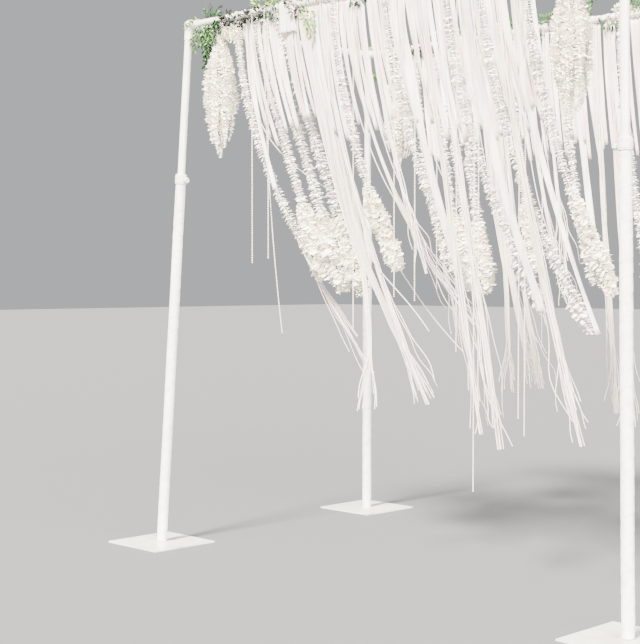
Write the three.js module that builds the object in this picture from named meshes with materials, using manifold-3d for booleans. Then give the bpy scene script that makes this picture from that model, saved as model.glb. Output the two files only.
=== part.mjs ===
// Four-post wedding canopy, open at the top and at both ends. Telescopic uprights on steel
// plates splay outwards from four head rails, and a curtain of flower garlands, satin ribbons
// and string bundles hangs from each side rail and leans with the wind.
// Millimetres, +Z up, origin on the ground in the middle of the four feet.
import * as THREE from 'three';
import { mergeVertices } from 'three/addons/utils/BufferGeometryUtils.js';
import Module from 'manifold-3d';

const wasm = await Module();
wasm.setup();

// Driving dimensions of the frame
const HEAD_WIDTH = 1580; // between the side rails' centrelines
const HEAD_DEPTH = 3050; // between the front and back rails' centrelines
const HEAD_HEIGHT = 3135; // rail centrelines above the ground
const SPLAY = 125; // each foot stands this far outside its head corner, in X and in Y
const GAP = 0.3; // clearance between pieces that touch
const POST_SIDES = 12;

const PLATE = 457; // square foot plate
const PLATE_THICKNESS = 8;
const SPIGOT_RADIUS = 20;
const SPIGOT_TOP = 160;
const LOWER_OUTER = 31; // tube with the cloth wound round it
const LOWER_BORE = 23.8;
const LOWER_START = 10.5; // clears the plate under the leaning tube's rim
const LOWER_TOP = 2223;
const UPPER_OUTER = 22.2;
const UPPER_BORE = 20.6;
const UPPER_START = 1763;
const COLLAR_OUTER = 36;
const COLLAR_START = 2183;
const COLLAR_TOP = 2243;
const COLLAR_CHAMFER = { inset: 5, drop: 8 }; // of the collar's upper edge
const KNOB_HEIGHT = 2205;
const KNOB_STUD_RADIUS = 5;
const KNOB_STUD_LENGTH = 4;
const KNOB_RADIUS = 18;
const KNOB_LENGTH = 22;

const RAIL_OUTER = 20;
const RAIL_BORE = 16;
const HUB_RADIUS = 30;
const SOCKET_RADIUS = 25.8;
const SOCKET_REACH = 90; // from the corner point to a socket's mouth
const SOCKET_DEPTH = 45; // a tube stops this far from the corner point

// Driving dimensions of the hangings
const SLEEVE_BORE = RAIL_OUTER + GAP + 0.2;
const SLEEVE_OUTER = 24; // cloth sleeve round a side rail
const STRAND_TOP = 21.5; // strands start in the wall of the sleeve, below the rail
const STRAND_STEPS = 10;
const RIBBON_THICKNESS = 12;
const CORD_RADIUS = 4;
const PANEL = { from: 803, to: 937, drop: 150, top: 11, thickness: 6 }; // cloth folded over the rail
const CALM = 0.45; // the right-hand curtain leans this much as far as the left one
const STRING_RADIUS = 4;
const WISTERIA_INSET = 285; // along the side rail from the corner
const WISTERIA_DROP = 800; // from the rail's underside
const WISTERIA_RADIUS = 105;
// Outline of a blossom cluster: share of the drop, share of the radius
const WISTERIA_OUTLINE = [
  [0, 0.22], [0.1, 0.34], [0.24, 0.6], [0.41, 0.9], [0.6, 1], [0.76, 0.84], [0.88, 0.55], [0.96, 0.22],
];
const GREENS_INNER = SLEEVE_OUTER + GAP;
const GREENS_HEIGHT = 62;
const GREENS_HALF_WIDTH = 42;
const LEAF_REACH = 600; // longer than any leaf mass, so that the tubes cut right through it

const WIND = new THREE.Vector2(1, -1).normalize();

// Strands of one side: at is the distance along the rail from the back corner, lean the shift
// with the wind after the first metre of fall, power how the shift grows with the fall.
const CURTAINS = [
  {
    from: 385,
    to: 940,
    strands: [
      { kind: 'garland', at: 440, fall: 1440, lean: 222, power: 1.93, radius: 29, swell: 0.1 },
      { kind: 'bundle', at: 444, fall: 2080, lean: 195, power: 1.99, radius: 9 },
      { kind: 'ribbon', at: 507, fall: 1010, lean: 170, power: 1.63, width: 36 },
      { kind: 'cord', at: 520, fall: 1180, lean: 450, power: 3.7 },
      { kind: 'garland', at: 590, fall: 1520, lean: 245, power: 1.18, radius: 30, swell: 1.4 },
      { kind: 'garland', at: 660, fall: 1590, lean: 295, power: 0.97, radius: 33, swell: 1.25 },
      { kind: 'garland', at: 755, fall: 1610, lean: 315, power: 0.98, radius: 34, swell: 0.9 },
      { kind: 'cord', at: 900, fall: 1940, lean: 310, power: 1.7 },
    ],
  },
  {
    from: 945,
    to: 1535,
    strands: [
      { kind: 'ribbon', at: 1021, fall: 2200, lean: 195, power: 1.3, width: 148 },
      { kind: 'bundle', at: 1130, fall: 2220, lean: 170, power: 1.55, radius: 14 },
      { kind: 'cord', at: 1170, fall: 1820, lean: 90, power: 3 },
      { kind: 'garland', at: 1222, fall: 1470, lean: 177, power: 1.78, radius: 30, swell: 0.9 },
      { kind: 'cord', at: 1300, fall: 1640, lean: 220, power: 2.3 },
      { kind: 'bundle', at: 1350, fall: 1780, lean: 210, power: 2, radius: 9 },
      { kind: 'cord', at: 1430, fall: 1700, lean: 190, power: 2 },
      { kind: 'bundle', at: 1480, fall: 1500, lean: 170, power: 1.5, radius: 14 },
    ],
  },
  {
    from: 1540,
    to: 2060,
    strands: [
      { kind: 'garland', at: 1600, fall: 1560, lean: 200, power: 1.74, radius: 28, swell: 0.4 },
      { kind: 'ribbon', at: 1700, fall: 1500, lean: 170, power: 1.5, width: 60 },
      { kind: 'bundle', at: 1820, fall: 2330, lean: 145, power: 1, radius: 16 },
      { kind: 'bundle', at: 1930, fall: 2400, lean: 140, power: 1.05, radius: 18 },
      { kind: 'garland', at: 2005, fall: 1700, lean: 200, power: 1.74, radius: 28, swell: 0.6 },
    ],
  },
  {
    from: 2065,
    to: 2560,
    strands: [
      { kind: 'ribbon', at: 2125, fall: 1700, lean: 180, power: 1.5, width: 60 },
      { kind: 'garland', at: 2225, fall: 1800, lean: 200, power: 1.74, radius: 28, swell: 0.4 },
      { kind: 'bundle', at: 2330, fall: 2350, lean: 130, power: 1.4, radius: 18 },
      { kind: 'ribbon', at: 2415, fall: 1800, lean: 170, power: 1.6, width: 40 },
      { kind: 'garland', at: 2500, fall: 1600, lean: 190, power: 1.74, radius: 28, swell: 0.8 },
    ],
  },
];

// Beaded strings hang on the windward side, straight down but for one that the wind carries: at
// is the distance along the rail from the back corner, fall the length below the rail's
// centreline, lean and power as for a strand.
const STRINGS = {
  left: [
    { at: 593, fall: 1435 },
    { at: 728, fall: 1410 },
    { at: 697, fall: 1835, lean: 28, power: 2.1 },
    { at: 1395, fall: 1800 },
    { at: 1688, fall: 1620 },
    { at: 1830, fall: 1640 },
    { at: 2105, fall: 1890 },
    { at: 2217, fall: 2580 },
    { at: 2245, fall: 2220 },
    { at: 2492, fall: 2200 },
    { at: 2528, fall: 2280 },
  ],
  right: [
    { at: 640, fall: 1600 },
    { at: 1480, fall: 1950 },
    { at: 2260, fall: 2250 },
  ],
};

// Leaf masses of one corner, from the corner point along the side rail: along, out and up are
// the centre, radii the half sizes.
const LEAF_LUMPS = [
  { along: 200, out: 0, up: 30, radii: [62, 92, 66] },
  { along: 122, out: -8, up: -92, radii: [68, 116, 84] },
  { along: 152, out: 0, up: -190, radii: [36, 40, 78] },
];

const CORNERS = [
  { name: 'back_left', x: -1, y: 1 },
  { name: 'back_right', x: 1, y: 1 },
  { name: 'front_left', x: -1, y: -1 },
  { name: 'front_right', x: 1, y: -1 },
];

const UP = new THREE.Vector3(0, 0, 1);

const FINISHES = {
  steel: { color: 0xe9e9ea, roughness: 0.5, metalness: 0.4 },
  wound_cloth: { color: 0xf4f5f8, roughness: 0.8, metalness: 0 },
  tube: { color: 0xf1f2f5, roughness: 0.4, metalness: 0.3 },
  collar: { color: 0xe6e7ea, roughness: 0.45, metalness: 0 },
  curtain: { color: 0xf6f3ee, roughness: 0.75, metalness: 0 },
  leaves: { color: 0x5f7d3f, roughness: 0.6, metalness: 0 },
  blossom: { color: 0xf3eedf, roughness: 0.8, metalness: 0 },
  beads: { color: 0xf2ebe4, roughness: 0.35, metalness: 0 },
};

// Merges a geometry's shared corners, drops collapsed triangles and turns its faces outwards.
function closedForm(geometry) {
  geometry.deleteAttribute('normal');
  geometry.deleteAttribute('uv');
  const merged = mergeVertices(geometry, 1e-3);
  const index = merged.index.array;
  const kept = [];
  const corner = [new THREE.Vector3(), new THREE.Vector3(), new THREE.Vector3()];
  let volume = 0;
  for (let i = 0; i < index.length; i += 3) {
    const [a, b, c] = [index[i], index[i + 1], index[i + 2]];
    if (a === b || b === c || c === a) {
      continue;
    }
    kept.push(a, b, c);
    corner.forEach((p, k) => p.fromBufferAttribute(merged.attributes.position, index[i + k]));
    volume += corner[0].dot(corner[1].clone().cross(corner[2])) / 6;
  }
  merged.setIndex(volume < 0 ? kept.reverse() : kept);
  return merged;
}

function toSolid(geometry) {
  const form = closedForm(geometry);
  return new wasm.Manifold(new wasm.Mesh({
    numProp: 3,
    vertProperties: new Float32Array(form.attributes.position.array),
    triVerts: new Uint32Array(form.index.array),
  }));
}

function toGeometry(solid) {
  const mesh = solid.getMesh();
  const geometry = new THREE.BufferGeometry();
  geometry.setAttribute('position', new THREE.BufferAttribute(mesh.vertProperties, 3));
  geometry.setIndex(new THREE.BufferAttribute(mesh.triVerts, 1));
  return geometry;
}

function joined(geometries) {
  return geometries.map(toSolid).reduce((whole, piece) => whole.add(piece));
}

function node(name, geometry, finish) {
  const mesh = new THREE.Mesh(geometry, new THREE.MeshStandardMaterial(FINISHES[finish]));
  mesh.name = name;
  return mesh;
}

// A body turned about +Z from a profile of [radius, height] points, with flats facing X and Y.
function turned(profile, sides) {
  const points = profile.map(([radius, height]) => new THREE.Vector2(radius, height));
  return closedForm(new THREE.LatheGeometry(points, sides, Math.PI / sides).rotateX(Math.PI / 2));
}

function ring(bore, outer, from, to, sides) {
  return turned([[bore, from], [outer, from], [outer, to], [bore, to], [bore, from]], sides);
}

function rod(radius, from, to, sides) {
  return turned([[0, from], [radius, from], [radius, to], [0, to]], sides);
}

// Turns a body built along +Z to run along a direction, then moves it.
function aimed(geometry, direction, position) {
  const turn = new THREE.Quaternion().setFromUnitVectors(UP, direction);
  return geometry.applyQuaternion(turn).translate(position.x, position.y, position.z);
}

function headCorner(corner) {
  return new THREE.Vector3(corner.x * HEAD_WIDTH / 2, corner.y * HEAD_DEPTH / 2, HEAD_HEIGHT);
}

function footPoint(corner) {
  const head = headCorner(corner);
  return new THREE.Vector3(head.x + corner.x * SPLAY, head.y + corner.y * SPLAY, 0);
}

const LEG_LENGTH = Math.hypot(SPLAY, SPLAY, HEAD_HEIGHT);

function legDirection(corner) {
  return headCorner(corner).sub(footPoint(corner)).normalize();
}

// The group whose origin is a foot point and whose +Z runs up the leaning leg.
function legGroup(corner) {
  const group = new THREE.Group();
  group.position.copy(footPoint(corner));
  group.quaternion.setFromUnitVectors(UP, legDirection(corner));
  return group;
}

function footPlate(corner) {
  const foot = footPoint(corner);
  const plate = new THREE.BoxGeometry(PLATE, PLATE, PLATE_THICKNESS)
    .translate(foot.x, foot.y, PLATE_THICKNESS / 2);
  const spigot = aimed(
    rod(SPIGOT_RADIUS, PLATE_THICKNESS / 2, SPIGOT_TOP, POST_SIDES), legDirection(corner), foot);
  return toGeometry(joined([plate, spigot]));
}

function collar() {
  return turned([
    [UPPER_OUTER + GAP, COLLAR_TOP],
    [COLLAR_OUTER - COLLAR_CHAMFER.inset, COLLAR_TOP],
    [COLLAR_OUTER, COLLAR_TOP - COLLAR_CHAMFER.drop],
    [COLLAR_OUTER, COLLAR_START],
    [LOWER_OUTER + GAP, COLLAR_START],
    [LOWER_OUTER + GAP, LOWER_TOP + GAP],
    [UPPER_OUTER + GAP, LOWER_TOP + GAP],
    [UPPER_OUTER + GAP, COLLAR_TOP],
  ], POST_SIDES);
}

// The clamp knob stands on the flat of the collar that faces the other end of the canopy.
function lockKnob(corner) {
  const start = COLLAR_OUTER * Math.cos(Math.PI / POST_SIDES) + GAP;
  const profile = [
    [0, start],
    [KNOB_STUD_RADIUS, start],
    [KNOB_STUD_RADIUS, start + KNOB_STUD_LENGTH],
    [KNOB_RADIUS, start + KNOB_STUD_LENGTH],
    [KNOB_RADIUS, start + KNOB_STUD_LENGTH + KNOB_LENGTH],
    [0, start + KNOB_STUD_LENGTH + KNOB_LENGTH],
  ];
  const inward = new THREE.Vector3(0, -corner.y, 0);
  return aimed(turned(profile, 12), inward, new THREE.Vector3(0, 0, KNOB_HEIGHT));
}

// The three directions in which tubes leave a head corner.
function cornerBranches(corner) {
  return [
    { direction: new THREE.Vector3(-corner.x, 0, 0), radius: RAIL_OUTER, sides: 12 },
    { direction: new THREE.Vector3(0, -corner.y, 0), radius: RAIL_OUTER, sides: 12 },
    { direction: legDirection(corner).negate(), radius: UPPER_OUTER, sides: POST_SIDES },
  ];
}

function cornerFitting(corner) {
  const head = headCorner(corner);
  const ball = new THREE.SphereGeometry(HUB_RADIUS, 10, 6).translate(head.x, head.y, head.z);
  let body = toSolid(ball);
  for (const { direction } of cornerBranches(corner)) {
    body = body.add(toSolid(aimed(rod(SOCKET_RADIUS, 0, SOCKET_REACH, 12), direction, head)));
  }
  for (const { direction, radius, sides } of cornerBranches(corner)) {
    const bore = rod(radius + GAP + 0.2, SOCKET_DEPTH - GAP, SOCKET_REACH + 1, sides);
    body = body.subtract(toSolid(aimed(bore, direction, head)));
  }
  return toGeometry(body);
}

function sideRail(side) {
  const length = HEAD_DEPTH - 2 * SOCKET_DEPTH;
  const tube = ring(RAIL_BORE, RAIL_OUTER, -length / 2, length / 2, 12);
  return aimed(tube, new THREE.Vector3(0, 1, 0), new THREE.Vector3(side * HEAD_WIDTH / 2, 0, HEAD_HEIGHT));
}

function endRail(end) {
  const length = HEAD_WIDTH - 2 * SOCKET_DEPTH;
  const tube = ring(RAIL_BORE, RAIL_OUTER, -length / 2, length / 2, 12);
  return aimed(tube, new THREE.Vector3(1, 0, 0), new THREE.Vector3(0, end * HEAD_DEPTH / 2, HEAD_HEIGHT));
}

// Sideways shift with the wind after a fall below the rail.
function windShift(fall, strand, gust) {
  return gust * strand.lean * (fall / 1000) ** strand.power;
}

// Section scale of a strand at a share of its fall, from 0 at the sleeve to 1 at its end.
const STRAND_FORMS = {
  garland: (share, strand) => {
    const gathered = 0.7 + 0.3 * THREE.MathUtils.smoothstep(share, 0.05, 0.35);
    const swelling = 1 + strand.swell * THREE.MathUtils.smoothstep(share, 0.68, 0.86);
    return strand.radius * gathered * swelling * (share > 0.99 ? 0.45 : 1);
  },
  bundle: (share, strand) => strand.radius * (1 + 1.4 * THREE.MathUtils.smoothstep(share, 0.75, 1)),
  cord: () => CORD_RADIUS,
  ribbon: (share, strand) => strand.width * (1 - 0.5 * THREE.MathUtils.smoothstep(share, 0.4, 0.72)),
};

function strandBody(strand, side, gust) {
  const form = STRAND_FORMS[strand.kind];
  const length = strand.fall - STRAND_TOP;
  const body = strand.kind === 'ribbon'
    ? new THREE.BoxGeometry(1, 1, length, 1, 1, STRAND_STEPS)
    : new THREE.CylinderGeometry(1, 1, length, 6, STRAND_STEPS).rotateX(Math.PI / 2);
  const place = new THREE.Vector3(
    side * HEAD_WIDTH / 2, HEAD_DEPTH / 2 - strand.at, HEAD_HEIGHT);
  const points = body.attributes.position;
  for (let i = 0; i < points.count; i += 1) {
    const share = 0.5 - points.getZ(i) / length;
    const fall = STRAND_TOP + share * length;
    const size = form(share, strand);
    const thickness = strand.kind === 'ribbon' ? RIBBON_THICKNESS : size;
    const shift = windShift(fall, strand, gust) - windShift(STRAND_TOP, strand, gust);
    points.setXYZ(
      i,
      place.x + points.getX(i) * thickness + WIND.x * shift,
      place.y + points.getY(i) * size + WIND.y * shift,
      place.z - fall);
  }
  return body;
}

// The cloth sleeve round the side rail that the strands of one group are tied to.
function sleeve(curtain, side) {
  const start = new THREE.Vector3(side * HEAD_WIDTH / 2, HEAD_DEPTH / 2, HEAD_HEIGHT);
  const tube = ring(SLEEVE_BORE, SLEEVE_OUTER, curtain.from, curtain.to, 24);
  return aimed(tube, new THREE.Vector3(0, -1, 0), start);
}

// The short end of a cloth folded over the rail, on the windward side.
function foldedPanel(side) {
  const height = PANEL.drop - PANEL.top;
  return new THREE.BoxGeometry(PANEL.thickness, PANEL.to - PANEL.from, height).translate(
    side * HEAD_WIDTH / 2 - SLEEVE_OUTER + PANEL.thickness / 2,
    (HEAD_DEPTH - PANEL.from - PANEL.to) / 2,
    HEAD_HEIGHT - PANEL.top - height / 2);
}

function curtainGroup(curtain, side, gust) {
  const pieces = curtain.strands.map((strand) => strandBody(strand, side, gust));
  pieces.push(sleeve(curtain, side));
  if (curtain.from < PANEL.from && curtain.to > PANEL.to) {
    pieces.push(foldedPanel(side));
  }
  return toGeometry(joined(pieces));
}

function beadedString(string, side, gust) {
  const x = side * HEAD_WIDTH / 2 - SLEEVE_OUTER - GAP - STRING_RADIUS;
  const steps = Math.ceil(string.fall / 250);
  const body = new THREE.CylinderGeometry(STRING_RADIUS, STRING_RADIUS, string.fall, 8, steps)
    .rotateX(Math.PI / 2)
    .translate(x, HEAD_DEPTH / 2 - string.at, HEAD_HEIGHT - string.fall / 2);
  if (string.lean) {
    const points = body.attributes.position;
    for (let i = 0; i < points.count; i += 1) {
      const shift = windShift(HEAD_HEIGHT - points.getZ(i), string, gust);
      points.setX(i, points.getX(i) + WIND.x * shift);
      points.setY(i, points.getY(i) + WIND.y * shift);
    }
  }
  return body;
}

function leafMass(corner, extra) {
  const head = headCorner(corner);
  return joined(LEAF_LUMPS.map(({ along, out, up, radii }) => new THREE.SphereGeometry(1, 8, 5)
    .scale(radii[0] + extra, radii[1] + extra, radii[2] + extra)
    .translate(head.x + corner.x * out, head.y - corner.y * along, head.z + up)));
}

// Leaves packed round the corner, cut clear of the fitting, the rails and the upright.
function cornerLeaves(corner) {
  const head = headCorner(corner);
  const clear = GAP + 0.2;
  const ballClear = 2; // a coarse ball has to stay outside the hub
  let mass = leafMass(corner, 0);
  const ball = new THREE.SphereGeometry(HUB_RADIUS + ballClear, 8, 6).translate(head.x, head.y, head.z);
  mass = mass.subtract(toSolid(ball));
  for (const { direction, radius } of cornerBranches(corner)) {
    const socket = rod(SOCKET_RADIUS + clear, 0, SOCKET_REACH + clear, 12);
    const tube = rod((radius + clear) / Math.cos(Math.PI / 12), 0, LEAF_REACH, 12);
    mass = mass.subtract(toSolid(aimed(socket, direction, head)));
    mass = mass.subtract(toSolid(aimed(tube, direction, head)));
  }
  return toGeometry(mass);
}

// A hanging cluster of blossom, tied to the rail, widest below its middle and drawn out to a point.
function blossomCluster(corner) {
  const head = headCorner(corner);
  const profile = WISTERIA_OUTLINE.map(
    ([share, width]) => [WISTERIA_RADIUS * width, -WISTERIA_DROP * share]);
  const cluster = turned([[0, 0], ...profile, [0, -WISTERIA_DROP]], 12).translate(
    head.x,
    head.y - corner.y * WISTERIA_INSET,
    HEAD_HEIGHT - RAIL_OUTER - GAP);
  return toGeometry(toSolid(cluster).subtract(leafMass(corner, GAP)));
}

// Greenery lying along the top of the side curtains' sleeves.
function railGreens(side) {
  const outline = new THREE.Shape();
  outline.absarc(0, 0, GREENS_INNER, Math.PI * 0.12, Math.PI * 0.88, false);
  outline.bezierCurveTo(
    -GREENS_HALF_WIDTH, GREENS_INNER, -GREENS_HALF_WIDTH, GREENS_HEIGHT, 0, GREENS_HEIGHT);
  outline.bezierCurveTo(
    GREENS_HALF_WIDTH, GREENS_HEIGHT, GREENS_HALF_WIDTH, GREENS_INNER,
    GREENS_INNER * Math.cos(Math.PI * 0.12), GREENS_INNER * Math.sin(Math.PI * 0.12));
  const first = CURTAINS[0].from;
  const last = CURTAINS[CURTAINS.length - 1].to;
  return new THREE.ExtrudeGeometry(outline, { depth: last - first, bevelEnabled: false, curveSegments: 6 })
    .rotateX(Math.PI / 2)
    .translate(side * HEAD_WIDTH / 2, HEAD_DEPTH / 2 - first, HEAD_HEIGHT);
}

const canopy = new THREE.Group();

for (const corner of CORNERS) {
  canopy.add(node(`foot_plate_${corner.name}`, footPlate(corner), 'steel'));
  const leg = legGroup(corner);
  leg.add(node(
    `lower_post_${corner.name}`,
    ring(LOWER_BORE, LOWER_OUTER, LOWER_START, LOWER_TOP, POST_SIDES), 'wound_cloth'));
  leg.add(node(`lock_collar_${corner.name}`, collar(), 'collar'));
  leg.add(node(`lock_knob_${corner.name}`, lockKnob(corner), 'collar'));
  leg.add(node(
    `upper_post_${corner.name}`,
    ring(UPPER_BORE, UPPER_OUTER, UPPER_START, LEG_LENGTH - SOCKET_DEPTH, POST_SIDES), 'tube'));
  canopy.add(leg);
  canopy.add(node(`corner_fitting_${corner.name}`, cornerFitting(corner), 'tube'));
  canopy.add(node(`leaf_mass_${corner.name}`, cornerLeaves(corner), 'leaves'));
  canopy.add(node(`blossom_cluster_${corner.name}`, blossomCluster(corner), 'blossom'));
}

for (const [name, side, gust] of [['left', -1, 1], ['right', 1, CALM]]) {
  canopy.add(node(`side_rail_${name}`, sideRail(side), 'tube'));
  canopy.add(node(`rail_greens_${name}`, railGreens(side), 'leaves'));
  CURTAINS.forEach((curtain, i) => {
    canopy.add(node(`curtain_${name}_${i + 1}`, curtainGroup(curtain, side, gust), 'curtain'));
  });
  STRINGS[name].forEach((string, i) => {
    canopy.add(node(`beaded_string_${name}_${i + 1}`, beadedString(string, side, gust), 'beads'));
  });
}

canopy.add(node('end_rail_back', endRail(1), 'tube'));
canopy.add(node('end_rail_front', endRail(-1), 'tube'));

export default canopy;
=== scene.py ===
# The looks of a wedding canopy: cloth-wound telescopic posts, wrapped head rails, and on each
# side rail a curtain of petal garlands, satin ribbons, cotton strings and pearl strings.
# Metres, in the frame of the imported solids.
import math

import bpy
import numpy as np
from mathutils import Matrix, Vector


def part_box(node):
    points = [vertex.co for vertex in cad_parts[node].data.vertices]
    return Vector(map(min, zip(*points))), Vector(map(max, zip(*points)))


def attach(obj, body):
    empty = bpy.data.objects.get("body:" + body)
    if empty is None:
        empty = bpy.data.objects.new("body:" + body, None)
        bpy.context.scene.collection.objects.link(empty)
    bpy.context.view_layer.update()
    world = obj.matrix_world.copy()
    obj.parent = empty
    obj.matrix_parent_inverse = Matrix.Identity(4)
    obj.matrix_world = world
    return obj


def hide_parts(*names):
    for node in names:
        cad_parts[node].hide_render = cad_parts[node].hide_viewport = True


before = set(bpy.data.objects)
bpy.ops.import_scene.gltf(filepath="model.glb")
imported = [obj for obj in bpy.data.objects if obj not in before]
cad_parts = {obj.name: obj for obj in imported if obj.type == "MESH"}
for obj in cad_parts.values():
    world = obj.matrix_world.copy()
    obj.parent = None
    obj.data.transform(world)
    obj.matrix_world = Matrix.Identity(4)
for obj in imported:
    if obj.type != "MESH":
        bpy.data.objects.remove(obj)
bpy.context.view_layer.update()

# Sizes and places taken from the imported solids
rail_low, rail_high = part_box("side_rail_left")
RAIL_X = -(rail_low.x + rail_high.x) / 2
RAIL_Z = (rail_low.z + rail_high.z) / 2
BACK_Y = (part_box("end_rail_back")[0].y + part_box("end_rail_back")[1].y) / 2

# Sizes of the frame
SPLAY = 0.125
RAIL_RADIUS = 0.020
SLEEVE_RADIUS = 0.024
SOCKET_RADIUS = 0.0258
SOCKET_START = 0.020
SOCKET_DEPTH = 0.045
SOCKET_REACH = 0.090
HUB_RADIUS = 0.030
UPPER_RADIUS = 0.0222
UPPER_BORE = 0.0206
UPPER_START = 1.763
LOWER_RADIUS = 0.031
LOWER_BORE = 0.0238
LOWER_START = 0.0105
LOWER_TOP = 2.223
COLLAR_RADIUS = 0.036
COLLAR_START = 2.183
COLLAR_TOP = 2.243
KNOB_HEIGHT = 2.205
KNOB_RADIUS = 0.018
KNOB_LENGTH = 0.022
KNOB_STUD = 0.004
GAP = 0.0003  # between pieces that touch
CLEARANCE = 0.0005  # round a tube in its socket
NEAR_AXIS = 0.0002  # as near its axis as a turned body comes
LOWER_TUBE = LOWER_RADIUS - 0.0022  # the tubes under their cloth
RAIL_TUBE = RAIL_RADIUS - 0.0015
RAIL_BORE = 0.016
POST_SIDES = 12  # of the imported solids; a knob stands on the middle of one
PIPE_SIDES = 36

# Cloth wound round a tube: the radius it is wound on, its pitch, and how far it stands out
POST_WINDING = (LOWER_RADIUS - 0.0023, 0.085, 0.0022)
RAIL_WINDING = (RAIL_RADIUS - 0.0016, 0.034, 0.0017)

CORNERS = {
    "back_left": (-1, 1),
    "back_right": (1, 1),
    "front_left": (-1, -1),
    "front_right": (1, -1),
}

# Sizes of the hangings
WIND = np.array([1.0, -1.0]) / math.sqrt(2)
SIDES = {"left": (-1, 1.0), "right": (1, 0.45)}  # the sign of x, and the share of the wind
STRAND_TOP = 0.0215  # below the axis of the rail
PEARL_SIZE = 0.008  # across; so are the sizes of strings and cords
PEARL_PITCH = 0.0096
SEED_BEAD_PITCH = 0.0078
FLORET_PITCH = 0.0120
STRING_SIZE = 0.0055
LOOSE_SIZE = 0.0062
BAND_CORD_SIZE = 0.0060
BAND_CORDS = 26
RIBBON_THICKNESS = 0.0012
RIBBON_POINTS = 5  # across one face of a ribbon
TIE_TURNS = 2.2

# Where the random draws of each kind of piece begin
BUNDLE_SEED = {"left": 100, "right": 150}
BAND_SEED = {"left": 11, "right": 12}
SHORT_SEED = {"left": 60, "right": 61}
RIBBON_SEED, GARLAND_SEED, LEAF_SEED, RACEME_SEED, CLUMP_SEED = 20, 200, 300, 400, 500
POST_SEED, SIDE_RAIL_SEED, END_RAIL_SEED = 600, 610, 620

# Strands of one side, as distance along the rail from the back corner, fall, lean after the
# first metre, the power that the lean grows with, and then radius or width, or how far the
# end of a loose string curls. Garlands come by the solid that they replace, and end with how
# much they swell.
GARLANDS = [
    [
        (0.440, 1.440, 0.222, 1.93, 0.029, 0.1),
        (0.590, 1.520, 0.245, 1.18, 0.030, 1.4),
        (0.660, 1.590, 0.295, 0.97, 0.033, 1.25),
        (0.755, 1.610, 0.315, 0.98, 0.034, 0.9),
    ],
    [(1.222, 1.470, 0.177, 1.78, 0.030, 0.9)],
    [
        (1.600, 1.560, 0.200, 1.74, 0.028, 0.4),
        (2.005, 1.700, 0.200, 1.74, 0.028, 0.6),
    ],
    [
        (2.225, 1.800, 0.200, 1.74, 0.028, 0.4),
        (2.500, 1.600, 0.190, 1.74, 0.028, 0.8),
    ],
]
FULL_SWELL = 0.8  # garlands that swell this much end in open flowers
FULL_FROM = 0.73  # the share of their fall at which the open flowers begin
BAND = (1.021, 2.200, 0.195, 1.30, 0.148)
BAND_PARTING = 0.68  # the share of its fall at which the band parts in two fringes
BAND_BLOWN = 0.55  # the share of its cords that the wind takes with it
BUNDLES = [
    (0.438, 2.080, 0.223, 1.74, 0.009),
    (1.130, 2.220, 0.170, 1.55, 0.014),
    (1.350, 1.780, 0.210, 2.00, 0.009),
    (1.480, 1.500, 0.170, 1.50, 0.009),
    (1.820, 2.330, 0.145, 1.00, 0.016),
    (1.930, 2.400, 0.140, 1.05, 0.018),
    (2.330, 2.350, 0.130, 1.40, 0.018),
]
BEADED_BUNDLE = 5  # the number of the bundle whose outer strings are threaded with beads
LOOSE_STRINGS = [
    (0.520, 1.180, 0.450, 3.70, 0.004),
    (0.900, 1.940, 0.310, 1.70, 0.010),
    (1.170, 1.820, 0.090, 3.00, 0.030),
    (1.300, 1.640, 0.220, 2.30, 0.012),
    (1.430, 1.700, 0.190, 2.00, 0.045),
]
RIBBONS = [
    (0.507, 1.010, 0.170, 1.63, 0.036),
    (1.700, 1.500, 0.170, 1.50, 0.060),
    (2.125, 1.700, 0.180, 1.50, 0.060),
    (2.415, 1.800, 0.170, 1.60, 0.040),
]
# Short ribbons: where their row starts and ends, and how far they fall at places along it
SHORT_RIBBONS = {"first": 0.500, "last": 2.540, "pitch": 0.031, "width": 0.034, "groups": 6}
SHORT_FALLS = {
    "at": (0.50, 0.60, 0.68, 0.95, 1.20, 2.54), "fall": (0.76, 0.68, 0.64, 0.64, 0.76, 0.80)}
# Beaded strings: place along the rail and fall
PEARLS = {
    "left": [
        (0.593, 1.435), (0.728, 1.410), (0.697, 1.835), (1.395, 1.800), (1.688, 1.620),
        (1.830, 1.640), (2.105, 1.890), (2.217, 2.580), (2.245, 2.220), (2.492, 2.200),
        (2.528, 2.280),
    ],
    "right": [(0.640, 1.600), (1.480, 1.950), (2.260, 2.250)],
}
# The folded cloth: the stretch of rail it covers, how far its front end hangs down, its pleats
PANEL = {
    "start": 0.803, "end": 0.937, "drop": 0.150, "thickness": 0.0014, "pleats": 4.5, "columns": 25}

# Beaded strings hang straight down, but for this one, with its lean and power
BLOWN_PEARLS = {"left_3": (0.028, 2.1)}

# Hanging blossom of one corner, and its outline as shares of the drop and of the radius
CLUSTER = {"inset": 0.285, "drop": 0.800, "radius": 0.105}
CLUSTER_OUTLINE = [
    (0, 0.22), (0.1, 0.34), (0.24, 0.6), (0.41, 0.9), (0.6, 1), (0.76, 0.84), (0.88, 0.55),
    (0.96, 0.22), (1, 0.05)]

# Rings of racemes round the middle one: how many, the angle between them and of the first, how
# far out they reach, the shares of the drop between which they start and end, and their fullness
RACEME_RINGS = [
    (5, 1.26, 0.4, 0.40, (0.0, 0.08), (0.86, 0.98), 0.030),
    (7, 0.90, 0.0, 0.68, (0.08, 0.22), (0.76, 0.95), 0.029),
    (8, 0.79, 0.3, 0.80, (0.18, 0.42), (0.62, 0.88), 0.027),
]


# The camera, at the photograph's viewpoint

PHOTO_HEIGHT_PX = 644
FOCAL_PX = 1400
SENSOR = 36.0
EYE = Vector((-6.242, -5.043, 1.6))
PITCH = math.radians(-1.72)


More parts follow.
